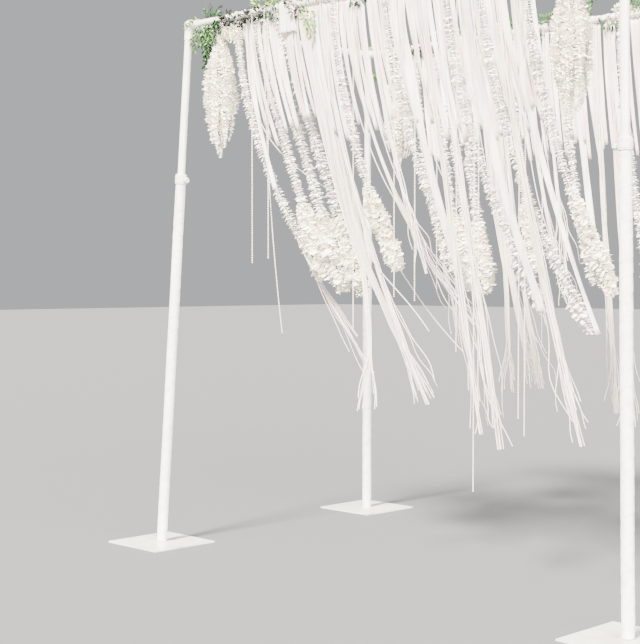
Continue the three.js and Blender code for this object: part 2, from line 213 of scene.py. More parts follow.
def make_camera():
    data = bpy.data.cameras.new("camera")
    data.sensor_width = SENSOR
    data.lens = SENSOR * FOCAL_PX / PHOTO_HEIGHT_PX
    data.clip_end = 200
    camera = bpy.data.objects.new("camera", data)
    bpy.context.scene.collection.objects.link(camera)
    level = math.cos(PITCH) / math.sqrt(2)
    camera.location = EYE
    camera.rotation_euler = Vector((level, level, math.sin(PITCH))).to_track_quat("-Z", "Y").to_euler()
    bpy.context.scene.camera = camera


make_camera()


# Node helpers

def linear(hex_colour):
    """An sRGB hex colour as linear RGBA."""
    parts = [int(hex_colour[i:i + 2], 16) / 255 for i in (1, 3, 5)]
    return [c / 12.92 if c <= 0.04045 else ((c + 0.055) / 1.055) ** 2.4 for c in parts] + [1.0]


def socket(sockets, key):
    if isinstance(key, int):
        return sockets[key]
    return next(s for s in sockets if s.name == key and s.enabled)


def add(tree, kind, settings=None, inputs=None, stops=()):
    """Adds a node with its settings and, on a colour ramp, its stops as (position, hex colour).

    Its inputs, by name or number, are set or linked.
    """
    node = tree.nodes.new(kind)
    for name, value in (settings or {}).items():
        setattr(node, name, value)
    if stops:
        elements = node.color_ramp.elements
        while len(elements) < len(stops):
            elements.new(0.5)
        for element, (position, colour) in zip(elements, stops):
            element.position = position
            element.color = linear(colour)
    for key, value in (inputs or {}).items():
        target = socket(node.inputs, key)
        if isinstance(value, bpy.types.NodeSocket):
            tree.links.new(value, target)
        else:
            target.default_value = value
    return node


def out(node, key=0):
    return socket(node.outputs, key)


def new_material(name):
    material = bpy.data.materials.new(name)
    material.use_nodes = True
    material.node_tree.nodes.clear()
    return material, material.node_tree


def finish_material(tree, settings, surface_bump=None):
    """Ends a material in one principled shader."""
    shader = add(tree, "ShaderNodeBsdfPrincipled", inputs=settings)
    if surface_bump is not None:
        tree.links.new(surface_bump, socket(shader.inputs, "Normal"))
    add(tree, "ShaderNodeOutputMaterial", inputs={"Surface": out(shader)})


# Materials

def silk_petal():
    """Silk flower petals: matt white cloth, a little cream, yellow-green towards the heart, and a
    little lilac painted shade.
    """
    material, tree = new_material("silk_petal")
    tint = add(tree, "ShaderNodeAttribute", {"attribute_name": "tint"})
    heart = add(tree, "ShaderNodeAttribute", {"attribute_name": "heart"})
    # The lilac first stop is painted shade, given to florets at random by their tint.
    petals = add(tree, "ShaderNodeValToRGB", inputs={0: out(tint, "Fac")}, stops=[
        (0.0, "#F4EDF3"), (0.2, "#FFFFFF"), (0.7, "#FFFFFF"), (0.85, "#FDF5EC"), (1.0, "#F7ECEA")])
    colour = add(tree, "ShaderNodeMix", {"data_type": "RGBA"}, {
        "Factor": out(heart, "Fac"), "A": out(petals), "B": linear("#F1EED0")})
    finish_material(tree, {
        "Base Color": out(colour, "Result"), "Roughness": 0.72, "Sheen Weight": 0.25},
        cloth_weave(tree, 0.0009))
    return material


def cream_blossom():
    """Silk wisteria: cream white cloth with warm and green-yellow florets among the white."""
    material, tree = new_material("cream_blossom")
    tint = add(tree, "ShaderNodeAttribute", {"attribute_name": "tint"})
    heart = add(tree, "ShaderNodeAttribute", {"attribute_name": "heart"})
    florets = add(tree, "ShaderNodeValToRGB", inputs={0: out(tint, "Fac")}, stops=[
        (0.0, "#F8F1DC"), (0.25, "#FFFAEE"), (0.65, "#FFFDF6"), (0.85, "#FCF0E6"), (1.0, "#EDEDC8")])
    colour = add(tree, "ShaderNodeMix", {"data_type": "RGBA"}, {
        "Factor": out(heart, "Fac"), "A": out(florets), "B": linear("#DDDA8E")})
    finish_material(tree, {
        "Base Color": out(colour, "Result"), "Roughness": 0.75, "Sheen Weight": 0.2},
        cloth_weave(tree, 0.0009))
    return material


def cloth_weave(tree, thread):
    """Bump of a plain weave, drawn at the thread spacing given in metres."""
    place = add(tree, "ShaderNodeTexCoord")
    rows = [add(tree, "ShaderNodeTexWave", {"wave_type": "BANDS", "bands_direction": axis}, {
        "Vector": out(place, "Object"), "Scale": 0.314 / thread, "Distortion": 0.6, "Detail": 1.0})
        for axis in ("Z", "DIAGONAL")]
    both = add(tree, "ShaderNodeMath", {"operation": "MULTIPLY"}, {
        0: out(rows[0], "Fac"), 1: out(rows[1], "Fac")})
    weave = add(tree, "ShaderNodeBump", inputs={
        "Strength": 0.25, "Distance": thread * 0.3, "Height": out(both)})
    return out(weave)


def satin(name, base, shade):
    """Polyester satin: smooth and shiny along the ribbon, with soft folds of painted shade in its
    colour.
    """
    material, tree = new_material(name)
    place = add(tree, "ShaderNodeTexCoord")
    stretched = add(tree, "ShaderNodeVectorMath", {"operation": "MULTIPLY"}, {
        0: out(place, "Object"), 1: (3.0, 3.0, 0.5)})
    # Painted shade: a stretched noise darkens the colour towards the shade colour, as in soft folds.
    folds = add(tree, "ShaderNodeTexNoise", inputs={
        "Vector": out(stretched), "Scale": 8.0, "Detail": 3.0})
    colour = add(tree, "ShaderNodeValToRGB", inputs={0: out(folds, "Fac")}, stops=[
        (0.36, shade), (0.56, base)])
    ribbon = add(tree, "ShaderNodeUVMap", {"uv_map": "UVMap"})
    threads = add(tree, "ShaderNodeTexWave", {"bands_direction": "X"}, {
        "Vector": out(ribbon), "Scale": 300.0, "Distortion": 0.4})
    grain = add(tree, "ShaderNodeBump", inputs={
        "Strength": 0.15, "Distance": 0.0002, "Height": out(threads, "Fac")})
    finish_material(tree, {
        "Base Color": out(colour), "Roughness": 0.36, "Sheen Weight": 0.3,
        "Specular IOR Level": 0.6, "Anisotropic": 0.4}, out(grain))
    return material


def cotton_string():
    """Twisted cotton string: matt cream, white, lilac or blush, with the diagonal lay of its yarns."""
    material, tree = new_material("cotton_string")
    along = add(tree, "ShaderNodeAttribute", {"attribute_name": "along"})
    around = add(tree, "ShaderNodeAttribute", {"attribute_name": "around"})
    tint = add(tree, "ShaderNodeAttribute", {"attribute_name": "tint"})
    lay = add(tree, "ShaderNodeMath", {"operation": "MULTIPLY_ADD"}, {
        0: out(along, "Fac"), 1: 110.0, 2: out(around, "Fac")})
    turns = add(tree, "ShaderNodeMath", {"operation": "MULTIPLY"}, {0: out(lay), 1: 2 * math.pi})
    yarns = add(tree, "ShaderNodeMath", {"operation": "SINE"}, {0: out(turns)})
    colour = add(tree, "ShaderNodeValToRGB", inputs={0: out(tint, "Fac")}, stops=[
        (0.0, "#E6D9C6"), (0.25, "#F6F0E6"), (0.5, "#FFFFFF"), (0.75, "#EFEAF5"), (1.0, "#F8E4DF")])
    twist = add(tree, "ShaderNodeBump", inputs={
        "Strength": 0.5, "Distance": 0.0008, "Height": out(yarns)})
    finish_material(tree, {
        "Base Color": out(colour), "Roughness": 0.9, "Sheen Weight": 0.35}, out(twist))
    return material


def pearl_bead():
    """Faux pearls: glossy lacquer over warm white plastic."""
    material, tree = new_material("pearl_bead")
    place = add(tree, "ShaderNodeTexCoord")
    clouds = add(tree, "ShaderNodeTexNoise", inputs={"Vector": out(place, "Object"), "Scale": 90.0})
    colour = add(tree, "ShaderNodeValToRGB", inputs={0: out(clouds, "Fac")}, stops=[
        (0.35, "#EFE2DA"), (0.65, "#FBF7F2")])
    finish_material(tree, {
        "Base Color": out(colour), "Roughness": 0.28, "Coat Weight": 0.6, "Coat Roughness": 0.12})
    return material


def silk_leaf():
    """Silk leaves: printed polyester, from dark green to fresh yellow-green; the near-black end is
    painted shade.
    """
    material, tree = new_material("silk_leaf")
    tint = add(tree, "ShaderNodeAttribute", {"attribute_name": "tint"})
    place = add(tree, "ShaderNodeTexCoord")
    # The near-black first stop is painted shade, for the leaves under the rail.
    greens = add(tree, "ShaderNodeValToRGB", inputs={0: out(tint, "Fac")}, stops=[
        (0.0, "#12171A"), (0.25, "#1F4A3E"), (0.5, "#3C7A3A"), (0.75, "#7DB045"), (1.0, "#C8D99A")])
    clouds = add(tree, "ShaderNodeTexNoise", inputs={"Vector": out(place, "Object"), "Scale": 60.0})
    print_marks = add(tree, "ShaderNodeValToRGB", inputs={0: out(clouds, "Fac")}, stops=[
        (0.3, "#B9C4B4"), (0.7, "#FFFFFF")])
    colour = add(tree, "ShaderNodeMix", {"data_type": "RGBA", "blend_type": "MULTIPLY"}, {
        "Factor": 0.5, "A": out(greens), "B": out(print_marks)})
    finish_material(tree, {
        "Base Color": out(colour, "Result"), "Roughness": 0.5, "Sheen Weight": 0.1},
        cloth_weave(tree, 0.0012))
    return material


def wound_cloth():
    """White polyester cloth wound round a tube: matt, creased, with faint grey painted shade in its
    folds.
    """
    material, tree = new_material("wound_cloth")
    place = add(tree, "ShaderNodeTexCoord")
    creases = add(tree, "ShaderNodeTexNoise", inputs={
        "Vector": out(place, "Object"), "Scale": 22.0, "Detail": 6.0, "Distortion": 0.8})
    # Painted shade: the colour greys where the crease noise is low, as in the folds.
    colour = add(tree, "ShaderNodeValToRGB", inputs={0: out(creases, "Fac")}, stops=[
        (0.3, "#DDE0E8"), (0.55, "#F5F6F9"), (0.8, "#FFFFFF")])
    folds = add(tree, "ShaderNodeBump", inputs={
        "Strength": 0.5, "Distance": 0.002, "Height": out(creases, "Fac"),
        "Normal": cloth_weave(tree, 0.0012)})
    finish_material(tree, {
        "Base Color": out(colour), "Roughness": 0.82, "Sheen Weight": 0.2}, out(folds))
    return material


def silver_thread_ribbon():
    """Rail wrap: white ribbon with a silver thread: glossier specks, whiter at their centres as a
    painted highlight.
    """
    material, tree = new_material("silver_thread_ribbon")
    place = add(tree, "ShaderNodeTexCoord")
    specks = add(tree, "ShaderNodeTexVoronoi", inputs={
        "Vector": out(place, "Object"), "Scale": 240.0})
    # Painted highlight: the colour whitens towards each speck's centre.
    colour = add(tree, "ShaderNodeValToRGB", inputs={0: out(specks, "Distance")}, stops=[
        (0.1, "#FFFFFF"), (0.4, "#F1F0EE"), (0.8, "#DCDDE0")])
    gloss = add(tree, "ShaderNodeValToRGB", inputs={0: out(specks, "Distance")}, stops=[
        (0.15, "#404040"), (0.4, "#B0B0B0")])
    thread = add(tree, "ShaderNodeBump", inputs={
        "Strength": 0.5, "Distance": 0.0015, "Height": out(specks, "Distance")})
    finish_material(tree, {
        "Base Color": out(colour), "Roughness": out(gloss), "Sheen Weight": 0.3}, out(thread))
    return material


def painted_tube():
    """Satin white paint on metal tube, with fine orange peel and faint handling marks."""
    material, tree = new_material("painted_tube")
    place = add(tree, "ShaderNodeTexCoord")
    peel = add(tree, "ShaderNodeTexNoise", inputs={
        "Vector": out(place, "Object"), "Scale": 380.0, "Detail": 2.0})
    marks = add(tree, "ShaderNodeTexNoise", inputs={
        "Vector": out(place, "Object"), "Scale": 9.0, "Detail": 8.0})
    colour = add(tree, "ShaderNodeValToRGB", inputs={0: out(marks, "Fac")}, stops=[
        (0.25, "#E2E4E9"), (0.5, "#F4F5F8"), (0.8, "#FAFBFD")])
    rough = add(tree, "ShaderNodeValToRGB", inputs={0: out(marks, "Fac")}, stops=[
        (0.3, "#8C8C8C"), (0.7, "#5C5C5C")])
    dimples = add(tree, "ShaderNodeBump", inputs={
        "Strength": 0.12, "Distance": 0.0004, "Height": out(peel, "Fac")})
    finish_material(tree, {
        "Base Color": out(colour), "Roughness": out(rough), "Coat Weight": 0.15}, out(dimples))
    return material


def moulded_nylon():
    """Injection-moulded white nylon: even colour, fine spark texture, scuffed on proud edges."""
    material, tree = new_material("moulded_nylon")
    place = add(tree, "ShaderNodeTexCoord")
    spark = add(tree, "ShaderNodeTexNoise", inputs={
        "Vector": out(place, "Object"), "Scale": 900.0, "Detail": 1.0})
    scuffs = add(tree, "ShaderNodeTexNoise", inputs={
        "Vector": out(place, "Object"), "Scale": 45.0, "Detail": 9.0})
    colour = add(tree, "ShaderNodeValToRGB", inputs={0: out(scuffs, "Fac")}, stops=[
        (0.3, "#C9CCD3"), (0.5, "#E6E7EB"), (0.75, "#F2F3F5")])
    texture = add(tree, "ShaderNodeBump", inputs={
        "Strength": 0.2, "Distance": 0.0002, "Height": out(spark, "Fac")})
    finish_material(tree, {"Base Color": out(colour), "Roughness": 0.45}, out(texture))
    return material


def powder_coated_steel():
    """Thick plate in textured white powder coat, dulled and marked by shoes and grass."""
    material, tree = new_material("powder_coated_steel")
    place = add(tree, "ShaderNodeTexCoord")
    grain = add(tree, "ShaderNodeTexNoise", inputs={
        "Vector": out(place, "Object"), "Scale": 520.0, "Detail": 2.0})
    wear = add(tree, "ShaderNodeTexNoise", inputs={
        "Vector": out(place, "Object"), "Scale": 6.0, "Detail": 10.0, "Distortion": 0.6})
    colour = add(tree, "ShaderNodeValToRGB", inputs={0: out(wear, "Fac")}, stops=[
        (0.3, "#BFC0BC"), (0.5, "#E3E4E4"), (0.7, "#F0F1F2")])
    rough = add(tree, "ShaderNodeValToRGB", inputs={0: out(wear, "Fac")}, stops=[
        (0.3, "#B8B8B8"), (0.7, "#7A7A7A")])
    texture = add(tree, "ShaderNodeBump", inputs={
        "Strength": 0.3, "Distance": 0.0004, "Height": out(grain, "Fac")})
    finish_material(tree, {"Base Color": out(colour), "Roughness": out(rough)}, out(texture))
    return material


def plain_floor():
    """Studio floor: an even matt grey."""
    material, tree = new_material("plain_floor")
    finish_material(tree, {"Base Color": linear("#63686F"), "Roughness": 0.9})
    return material


PETAL = silk_petal()
BLOSSOM = cream_blossom()
# The second colour of each satin is the painted shade of its folds
SATIN = satin("white_satin", "#FFFFFF", "#DEDBE8")
BLUSH_SATIN = satin("blush_satin", "#FBEFEB", "#E8CFCA")
STRING = cotton_string()
PEARL = pearl_bead()
LEAF = silk_leaf()
WOUND = wound_cloth()
RAIL_RIBBON = silver_thread_ribbon()
TUBE = painted_tube()
NYLON = moulded_nylon()
STEEL = powder_coated_steel()


# Mesh helpers

def smoothstep(low, high, x):
    t = np.clip((np.asarray(x, float) - low) / (high - low), 0, 1)
    return t * t * (3 - 2 * t)


def link(obj):
    bpy.context.scene.collection.objects.link(obj)
    return obj


def outward(points, faces):
    """The faces, turned round if they enclose a negative volume."""
    points = np.asarray(points)
    volume = 0.0
    for face in faces:
        a = points[face[0]]
        for i in range(1, len(face) - 1):
            volume += a @ np.cross(points[face[i]], points[face[i + 1]])
    return [tuple(reversed(face)) for face in faces] if volume < 0 else faces


def make_piece(name, points, faces, material, uv=None, smooth=True):
    """One mesh object at the origin from points and faces; uv holds one pair for each point."""
    mesh = bpy.data.meshes.new(name)
    mesh.from_pydata(np.asarray(points, float).tolist(), [], outward(points, faces))
    if uv is not None:
        layer = mesh.uv_layers.new(name="UVMap")
        corner = np.zeros(len(mesh.loops), np.int32)
        mesh.loops.foreach_get("vertex_index", corner)
        layer.data.foreach_set("uv", np.asarray(uv, np.float32)[corner].ravel())
    mesh.materials.append(material)
    if smooth:
        mesh.shade_smooth()
    return link(bpy.data.objects.new(name, mesh))


def make_lines(name, lines, values, sizes=None):
    """Polylines only: each has one value on its points as tint, and may have sizes along it."""
    points, edges, tints = [], [], []
    for line, value in zip(lines, values):
        start = len(points)
        points.extend(map(tuple, line))
        edges.extend((start + i, start + i + 1) for i in range(len(line) - 1))
        tints.extend([value] * len(line))
    mesh = bpy.data.meshes.new(name)
    mesh.from_pydata(points, edges, [])
    mesh.attributes.new("tint", "FLOAT", "POINT").data.foreach_set("value", tints)
    if sizes is not None:
        mesh.attributes.new("size", "FLOAT", "POINT").data.foreach_set("value", np.concatenate(sizes))
    return link(bpy.data.objects.new(name, mesh))


def merge(parts):
    """Several (points, faces) as one."""
    points, faces = [], []
    for some_points, some_faces in parts:
        start = len(points)
        points.extend(map(tuple, some_points))
        faces.extend(tuple(start + i for i in face) for face in some_faces)
    return points, faces


def across(path):
    """Two unit vectors across a path at each of its points."""
    tangent = np.gradient(path, axis=0)
    tangent /= np.linalg.norm(tangent, axis=1)[:, None]
    side = np.cross(tangent, (0.0, 1.0, 0.0))
    side /= np.linalg.norm(side, axis=1)[:, None]
    return side, np.cross(side, tangent)


def closed_faces(rings, n):
    """The faces of a closed body made of rings of n points."""
    faces = [
        (i * n + j, i * n + (j + 1) % n, (i + 1) * n + (j + 1) % n, (i + 1) * n + j)
        for i in range(rings - 1) for j in range(n)]
    return faces + [tuple(reversed(range(n))), tuple((rings - 1) * n + j for j in range(n))]


def sweep(path, sections):
    """A closed body: sections holds, for each point of the path, its outline's offsets."""
    side, up = across(path)
    points = [
        place + a * s + b * u
        for place, s, u, section in zip(path, side, up, sections)
        for a, b in section]
    return points, closed_faces(len(path), len(sections[0]))


def tube(path, radii, sides):
    turns = [2 * math.pi * j / sides for j in range(sides)]
    return sweep(path, [[(r * math.cos(t), r * math.sin(t)) for t in turns] for r in radii])


def turned(profile, sides, lobes=0, depth=0.0):
    """A body turned about +Z from a closed profile of (radius, height); lobes flute it."""
    points, n = [], len(profile)
    for i in range(sides):
        t = 2 * math.pi * i / sides
        flute = 1 - depth * (0.5 + 0.5 * math.cos(lobes * t)) if lobes else 1.0
        points += [(r * flute * math.cos(t), r * flute * math.sin(t), z) for r, z in profile]
    faces = [
        (i * n + j, ((i + 1) % sides) * n + j, ((i + 1) % sides) * n + (j + 1) % n, i * n + (j + 1) % n)
        for i in range(sides) for j in range(n)]
    return points, faces


def ellipsoid(centre, radii, sides=14, rings=9):
    """A rounded body with flat ends where its poles would be."""
    points = []
    for i in range(1, rings):
        lat = math.pi * i / rings
        for j in range(sides):
            t = 2 * math.pi * j / sides
            points.append((
                centre[0] + radii[0] * math.sin(lat) * math.cos(t),
                centre[1] + radii[1] * math.sin(lat) * math.sin(t),
                centre[2] + radii[2] * math.cos(lat)))
    n = rings - 1
    faces = [
        (i * sides + j, (i + 1) * sides + j, (i + 1) * sides + (j + 1) % sides,
         i * sides + (j + 1) % sides)
        for i in range(n - 1) for j in range(sides)]
    faces.append(tuple(range(sides)))
    faces.append(tuple(reversed([(n - 1) * sides + j for j in range(sides)])))
    return points, faces


def placed(part, matrix):
    points, faces = part
    return [tuple(matrix @ Vector(p)) for p in points], faces


def aimed(direction, position):
    turn = Vector((0, 0, 1)).rotation_difference(Vector(direction))
    return Matrix.Translation(Vector(position)) @ turn.to_matrix().to_4x4()


# Geometry Nodes trees

GOLDEN_ANGLE = math.radians(137.5)  # from one leaf or floret to the next, round their stem
LEAF_LEAN = math.radians(52)  # of a leaf off its stem


def new_tree(name, inputs):
    """A tree with named inputs after its geometry, and the identifiers that set them."""
    tree = bpy.data.node_groups.new(name, "GeometryNodeTree")
    tree.interface.new_socket("Geometry", in_out="INPUT", socket_type="NodeSocketGeometry")
    tree.interface.new_socket("Geometry", in_out="OUTPUT", socket_type="NodeSocketGeometry")
    keys = {
        label: tree.interface.new_socket(
            label, in_out="INPUT", socket_type="NodeSocket" + kind).identifier
        for label, kind in inputs.items()}
    return tree, tree.nodes.new("NodeGroupInput"), keys


def close_tree(tree, geometry, material):
    """Ends a tree in realized instances with one material."""
    real = add(tree, "GeometryNodeRealizeInstances", inputs={"Geometry": geometry})
    painted = add(tree, "GeometryNodeSetMaterial", inputs={
        "Geometry": out(real), "Material": material})
    add(tree, "NodeGroupOutput", inputs={0: out(painted)})


def bloom_tree():
    """Sets copies of a floret or a leaf over a surface, facing out and drooping."""
    tree, given, keys = new_tree("bloom_tree", {
        "Floret": "Object", "Spacing": "Float", "Smallest": "Float", "Largest": "Float",
        "Droop": "Float", "Untidy": "Float", "Tint Low": "Float", "Tint High": "Float",
        "Seed": "Int", "Material": "Material"})
    spread = add(tree, "GeometryNodeDistributePointsOnFaces", {"distribute_method": "POISSON"}, {
        "Mesh": out(given, "Geometry"), "Distance Min": out(given, "Spacing"),
        "Density Max": 60000.0, "Seed": out(given, "Seed")})
    down = add(tree, "ShaderNodeCombineXYZ", inputs={
        "Z": out(add(tree, "ShaderNodeMath", {"operation": "MULTIPLY"}, {
            0: out(given, "Droop"), 1: -1.0}))})
    low = add(tree, "ShaderNodeVectorMath", {"operation": "SCALE"}, {
        0: (-1.0, -1.0, -1.0), "Scale": out(given, "Untidy")})
    high = add(tree, "ShaderNodeVectorMath", {"operation": "SCALE"}, {
        0: (1.0, 1.0, 1.0), "Scale": out(given, "Untidy")})
    jitter = add(tree, "FunctionNodeRandomValue", {"data_type": "FLOAT_VECTOR"}, {
        "Min": out(low), "Max": out(high), "Seed": out(given, "Seed")})
    facing = add(tree, "ShaderNodeVectorMath", {"operation": "ADD"}, {
        0: out(spread, "Normal"), 1: out(down)})
    facing = add(tree, "ShaderNodeVectorMath", {"operation": "ADD"}, {
        0: out(facing), 1: out(jitter, "Value")})
    aim = add(tree, "FunctionNodeAlignRotationToVector", {"axis": "Z"}, {"Vector": out(facing)})
    spin = add(tree, "FunctionNodeRandomValue", {"data_type": "FLOAT"}, {
        "Min": 0.0, "Max": 2 * math.pi, "Seed": 3})
    turn = add(tree, "FunctionNodeRotateRotation", {"rotation_space": "LOCAL"}, {
        0: out(aim), 1: out(add(tree, "ShaderNodeCombineXYZ", inputs={"Z": out(spin, "Value")}))})
    size = add(tree, "FunctionNodeRandomValue", {"data_type": "FLOAT"}, {
        "Min": out(given, "Smallest"), "Max": out(given, "Largest"), "Seed": 5})
    floret = add(tree, "GeometryNodeObjectInfo", inputs={"Object": out(given, "Floret")})
    copies = add(tree, "GeometryNodeInstanceOnPoints", inputs={
        "Points": out(spread, "Points"), "Instance": out(floret, "Geometry"),
        "Rotation": out(turn), "Scale": out(size, "Value")})
    tint = add(tree, "FunctionNodeRandomValue", {"data_type": "FLOAT"}, {
        "Min": out(given, "Tint Low"), "Max": out(given, "Tint High"), "Seed": 7})
    tinted = add(tree, "GeometryNodeStoreNamedAttribute", {
        "data_type": "FLOAT", "domain": "INSTANCE"}, {
        "Geometry": out(copies), "Name": "tint", "Value": out(tint, "Value")})
    close_tree(tree, out(tinted), out(given, "Material"))
    return tree, keys


def string_tree():
    """Gives lines a round section, and stores the place along and around for the twist."""
    tree, given, keys = new_tree("string_tree", {
        "Thickness": "Float", "Sides": "Int", "Material": "Material"})
    lines = add(tree, "GeometryNodeMeshToCurve", inputs={"Mesh": out(given, "Geometry")})
    along = add(tree, "GeometryNodeSplineParameter")
    marked = add(tree, "GeometryNodeStoreNamedAttribute", {
        "data_type": "FLOAT", "domain": "POINT"}, {
        "Geometry": out(lines), "Name": "along", "Value": out(along, "Length")})
    half = add(tree, "ShaderNodeMath", {"operation": "MULTIPLY"}, {
        0: out(given, "Thickness"), 1: 0.5})
    ring = add(tree, "GeometryNodeCurvePrimitiveCircle", inputs={
        "Resolution": out(given, "Sides"), "Radius": out(half)})
    around = add(tree, "GeometryNodeStoreNamedAttribute", {
        "data_type": "FLOAT", "domain": "POINT"}, {
        "Geometry": out(ring), "Name": "around",
        "Value": out(add(tree, "GeometryNodeSplineParameter"), "Factor")})
    body = add(tree, "GeometryNodeCurveToMesh", inputs={
        "Curve": out(marked), "Profile Curve": out(around), "Fill Caps": True})
    smooth = add(tree, "GeometryNodeSetShadeSmooth", inputs={
        "Geometry": out(body), "Shade Smooth": True})
    close_tree(tree, out(smooth), out(given, "Material"))
    return tree, keys


def pearl_tree():
    """Threads beads on lines at an even pitch."""
    tree, given, keys = new_tree("pearl_tree", {
        "Bead": "Object", "Pitch": "Float", "Thread": "Float", "Material": "Material"})
    line = add(tree, "GeometryNodeMeshToCurve", inputs={"Mesh": out(given, "Geometry")})
    stops = add(tree, "GeometryNodeCurveToPoints", {"mode": "LENGTH"}, {
        "Curve": out(line), "Length": out(given, "Pitch")})
    bead = add(tree, "GeometryNodeObjectInfo", inputs={"Object": out(given, "Bead")})
    beads = add(tree, "GeometryNodeInstanceOnPoints", inputs={
        "Points": out(stops, "Points"), "Instance": out(bead, "Geometry")})
    ring = add(tree, "GeometryNodeCurvePrimitiveCircle", inputs={
        "Resolution": 3, "Radius": out(given, "Thread")})
    thread = add(tree, "GeometryNodeCurveToMesh", inputs={
        "Curve": out(line), "Profile Curve": out(ring), "Fill Caps": True})
    both = add(tree, "GeometryNodeJoinGeometry", inputs={0: out(thread)})
    tree.links.new(out(beads), both.inputs[0])
    smooth = add(tree, "GeometryNodeSetShadeSmooth", inputs={
        "Geometry": out(both), "Shade Smooth": True})
    close_tree(tree, out(smooth), out(given, "Material"))
    return tree, keys


def sprig_tree():
    """Sets leaves in turn round the stems of hanging sprigs, and gives the stems a section."""
    tree, given, keys = new_tree("sprig_tree", {
        "Leaf": "Object", "Pitch": "Float", "Stem": "Float", "Smallest": "Float",
        "Largest": "Float", "Tint Low": "Float", "Tint High": "Float", "Seed": "Int",
        "Material": "Material"})
    stem = add(tree, "GeometryNodeMeshToCurve", inputs={"Mesh": out(given, "Geometry")})
    stops = add(tree, "GeometryNodeCurveToPoints", {"mode": "LENGTH"}, {
        "Curve": out(stem), "Length": out(given, "Pitch")})
    step = add(tree, "ShaderNodeMath", {"operation": "MULTIPLY"}, {
        0: out(add(tree, "GeometryNodeInputIndex")), 1: GOLDEN_ANGLE})
    turn = add(tree, "FunctionNodeRotateRotation", {"rotation_space": "LOCAL"}, {
        0: out(stops, "Rotation"),
        1: out(add(tree, "ShaderNodeCombineXYZ", inputs={"Z": out(step)}))})
    lean = add(tree, "FunctionNodeRotateRotation", {"rotation_space": "LOCAL"}, {
        0: out(turn), 1: (LEAF_LEAN, 0.0, 0.0)})
    size = add(tree, "FunctionNodeRandomValue", {"data_type": "FLOAT"}, {
        "Min": out(given, "Smallest"), "Max": out(given, "Largest"), "Seed": out(given, "Seed")})
    leaf = add(tree, "GeometryNodeObjectInfo", inputs={"Object": out(given, "Leaf")})
    leaves = add(tree, "GeometryNodeInstanceOnPoints", inputs={
        "Points": out(stops, "Points"), "Instance": out(leaf, "Geometry"),
        "Rotation": out(lean), "Scale": out(size, "Value")})
    tint = add(tree, "FunctionNodeRandomValue", {"data_type": "FLOAT"}, {
        "Min": out(given, "Tint Low"), "Max": out(given, "Tint High"),
        "Seed": out(given, "Seed")})
    tinted = add(tree, "GeometryNodeStoreNamedAttribute", {
        "data_type": "FLOAT", "domain": "INSTANCE"}, {
        "Geometry": out(leaves), "Name": "tint", "Value": out(tint, "Value")})
    ring = add(tree, "GeometryNodeCurvePrimitiveCircle", inputs={
        "Resolution": 3, "Radius": out(given, "Stem")})
    rods = add(tree, "GeometryNodeCurveToMesh", inputs={
        "Curve": out(stem), "Profile Curve": out(ring), "Fill Caps": True})
    both = add(tree, "GeometryNodeJoinGeometry", inputs={0: out(rods)})
    tree.links.new(out(tinted), both.inputs[0])
    close_tree(tree, out(both), out(given, "Material"))
    return tree, keys


def thread_tree():
    """Threads florets on lines like beads, each turned from the last and sized by the line."""
    tree, given, keys = new_tree("thread_tree", {
        "Floret": "Object", "Pitch": "Float", "Untidy": "Float", "Tint Low": "Float",
        "Tint High": "Float", "Seed": "Int", "Material": "Material"})
    line = add(tree, "GeometryNodeMeshToCurve", inputs={"Mesh": out(given, "Geometry")})
    stops = add(tree, "GeometryNodeCurveToPoints", {"mode": "LENGTH"}, {
        "Curve": out(line), "Length": out(given, "Pitch")})
    step = add(tree, "ShaderNodeMath", {"operation": "MULTIPLY"}, {
        0: out(add(tree, "GeometryNodeInputIndex")), 1: GOLDEN_ANGLE})
    turn = add(tree, "FunctionNodeRotateRotation", {"rotation_space": "LOCAL"}, {
        0: out(stops, "Rotation"),
        1: out(add(tree, "ShaderNodeCombineXYZ", inputs={"Z": out(step)}))})
    low = add(tree, "ShaderNodeVectorMath", {"operation": "SCALE"}, {
        0: (-1.0, -1.0, 0.0), "Scale": out(given, "Untidy")})
    high = add(tree, "ShaderNodeVectorMath", {"operation": "SCALE"}, {
        0: (1.0, 1.0, 0.0), "Scale": out(given, "Untidy")})
    sway = add(tree, "FunctionNodeRandomValue", {"data_type": "FLOAT_VECTOR"}, {
        "Min": out(low), "Max": out(high), "Seed": out(given, "Seed")})
    tilt = add(tree, "FunctionNodeRotateRotation", {"rotation_space": "LOCAL"}, {
        0: out(turn), 1: out(sway, "Value")})
    uneven = add(tree, "FunctionNodeRandomValue", {"data_type": "FLOAT"}, {
        "Min": 0.80, "Max": 1.30, "Seed": 5})
    size = add(tree, "ShaderNodeMath", {"operation": "MULTIPLY"}, {
        0: out(add(tree, "GeometryNodeInputNamedAttribute", {"data_type": "FLOAT"}, {
            "Name": "size"}), "Attribute"),
        1: out(uneven, "Value")})
    floret = add(tree, "GeometryNodeObjectInfo", inputs={"Object": out(given, "Floret")})
    copies = add(tree, "GeometryNodeInstanceOnPoints", inputs={
        "Points": out(stops, "Points"), "Instance": out(floret, "Geometry"),
        "Rotation": out(tilt), "Scale": out(size)})
    tint = add(tree, "FunctionNodeRandomValue", {"data_type": "FLOAT"}, {
        "Min": out(given, "Tint Low"), "Max": out(given, "Tint High"),
        "Seed": out(given, "Seed")})
    tinted = add(tree, "GeometryNodeStoreNamedAttribute", {
        "data_type": "FLOAT", "domain": "INSTANCE"}, {
        "Geometry": out(copies), "Name": "tint", "Value": out(tint, "Value")})
    close_tree(tree, out(tinted), out(given, "Material"))
    return tree, keys


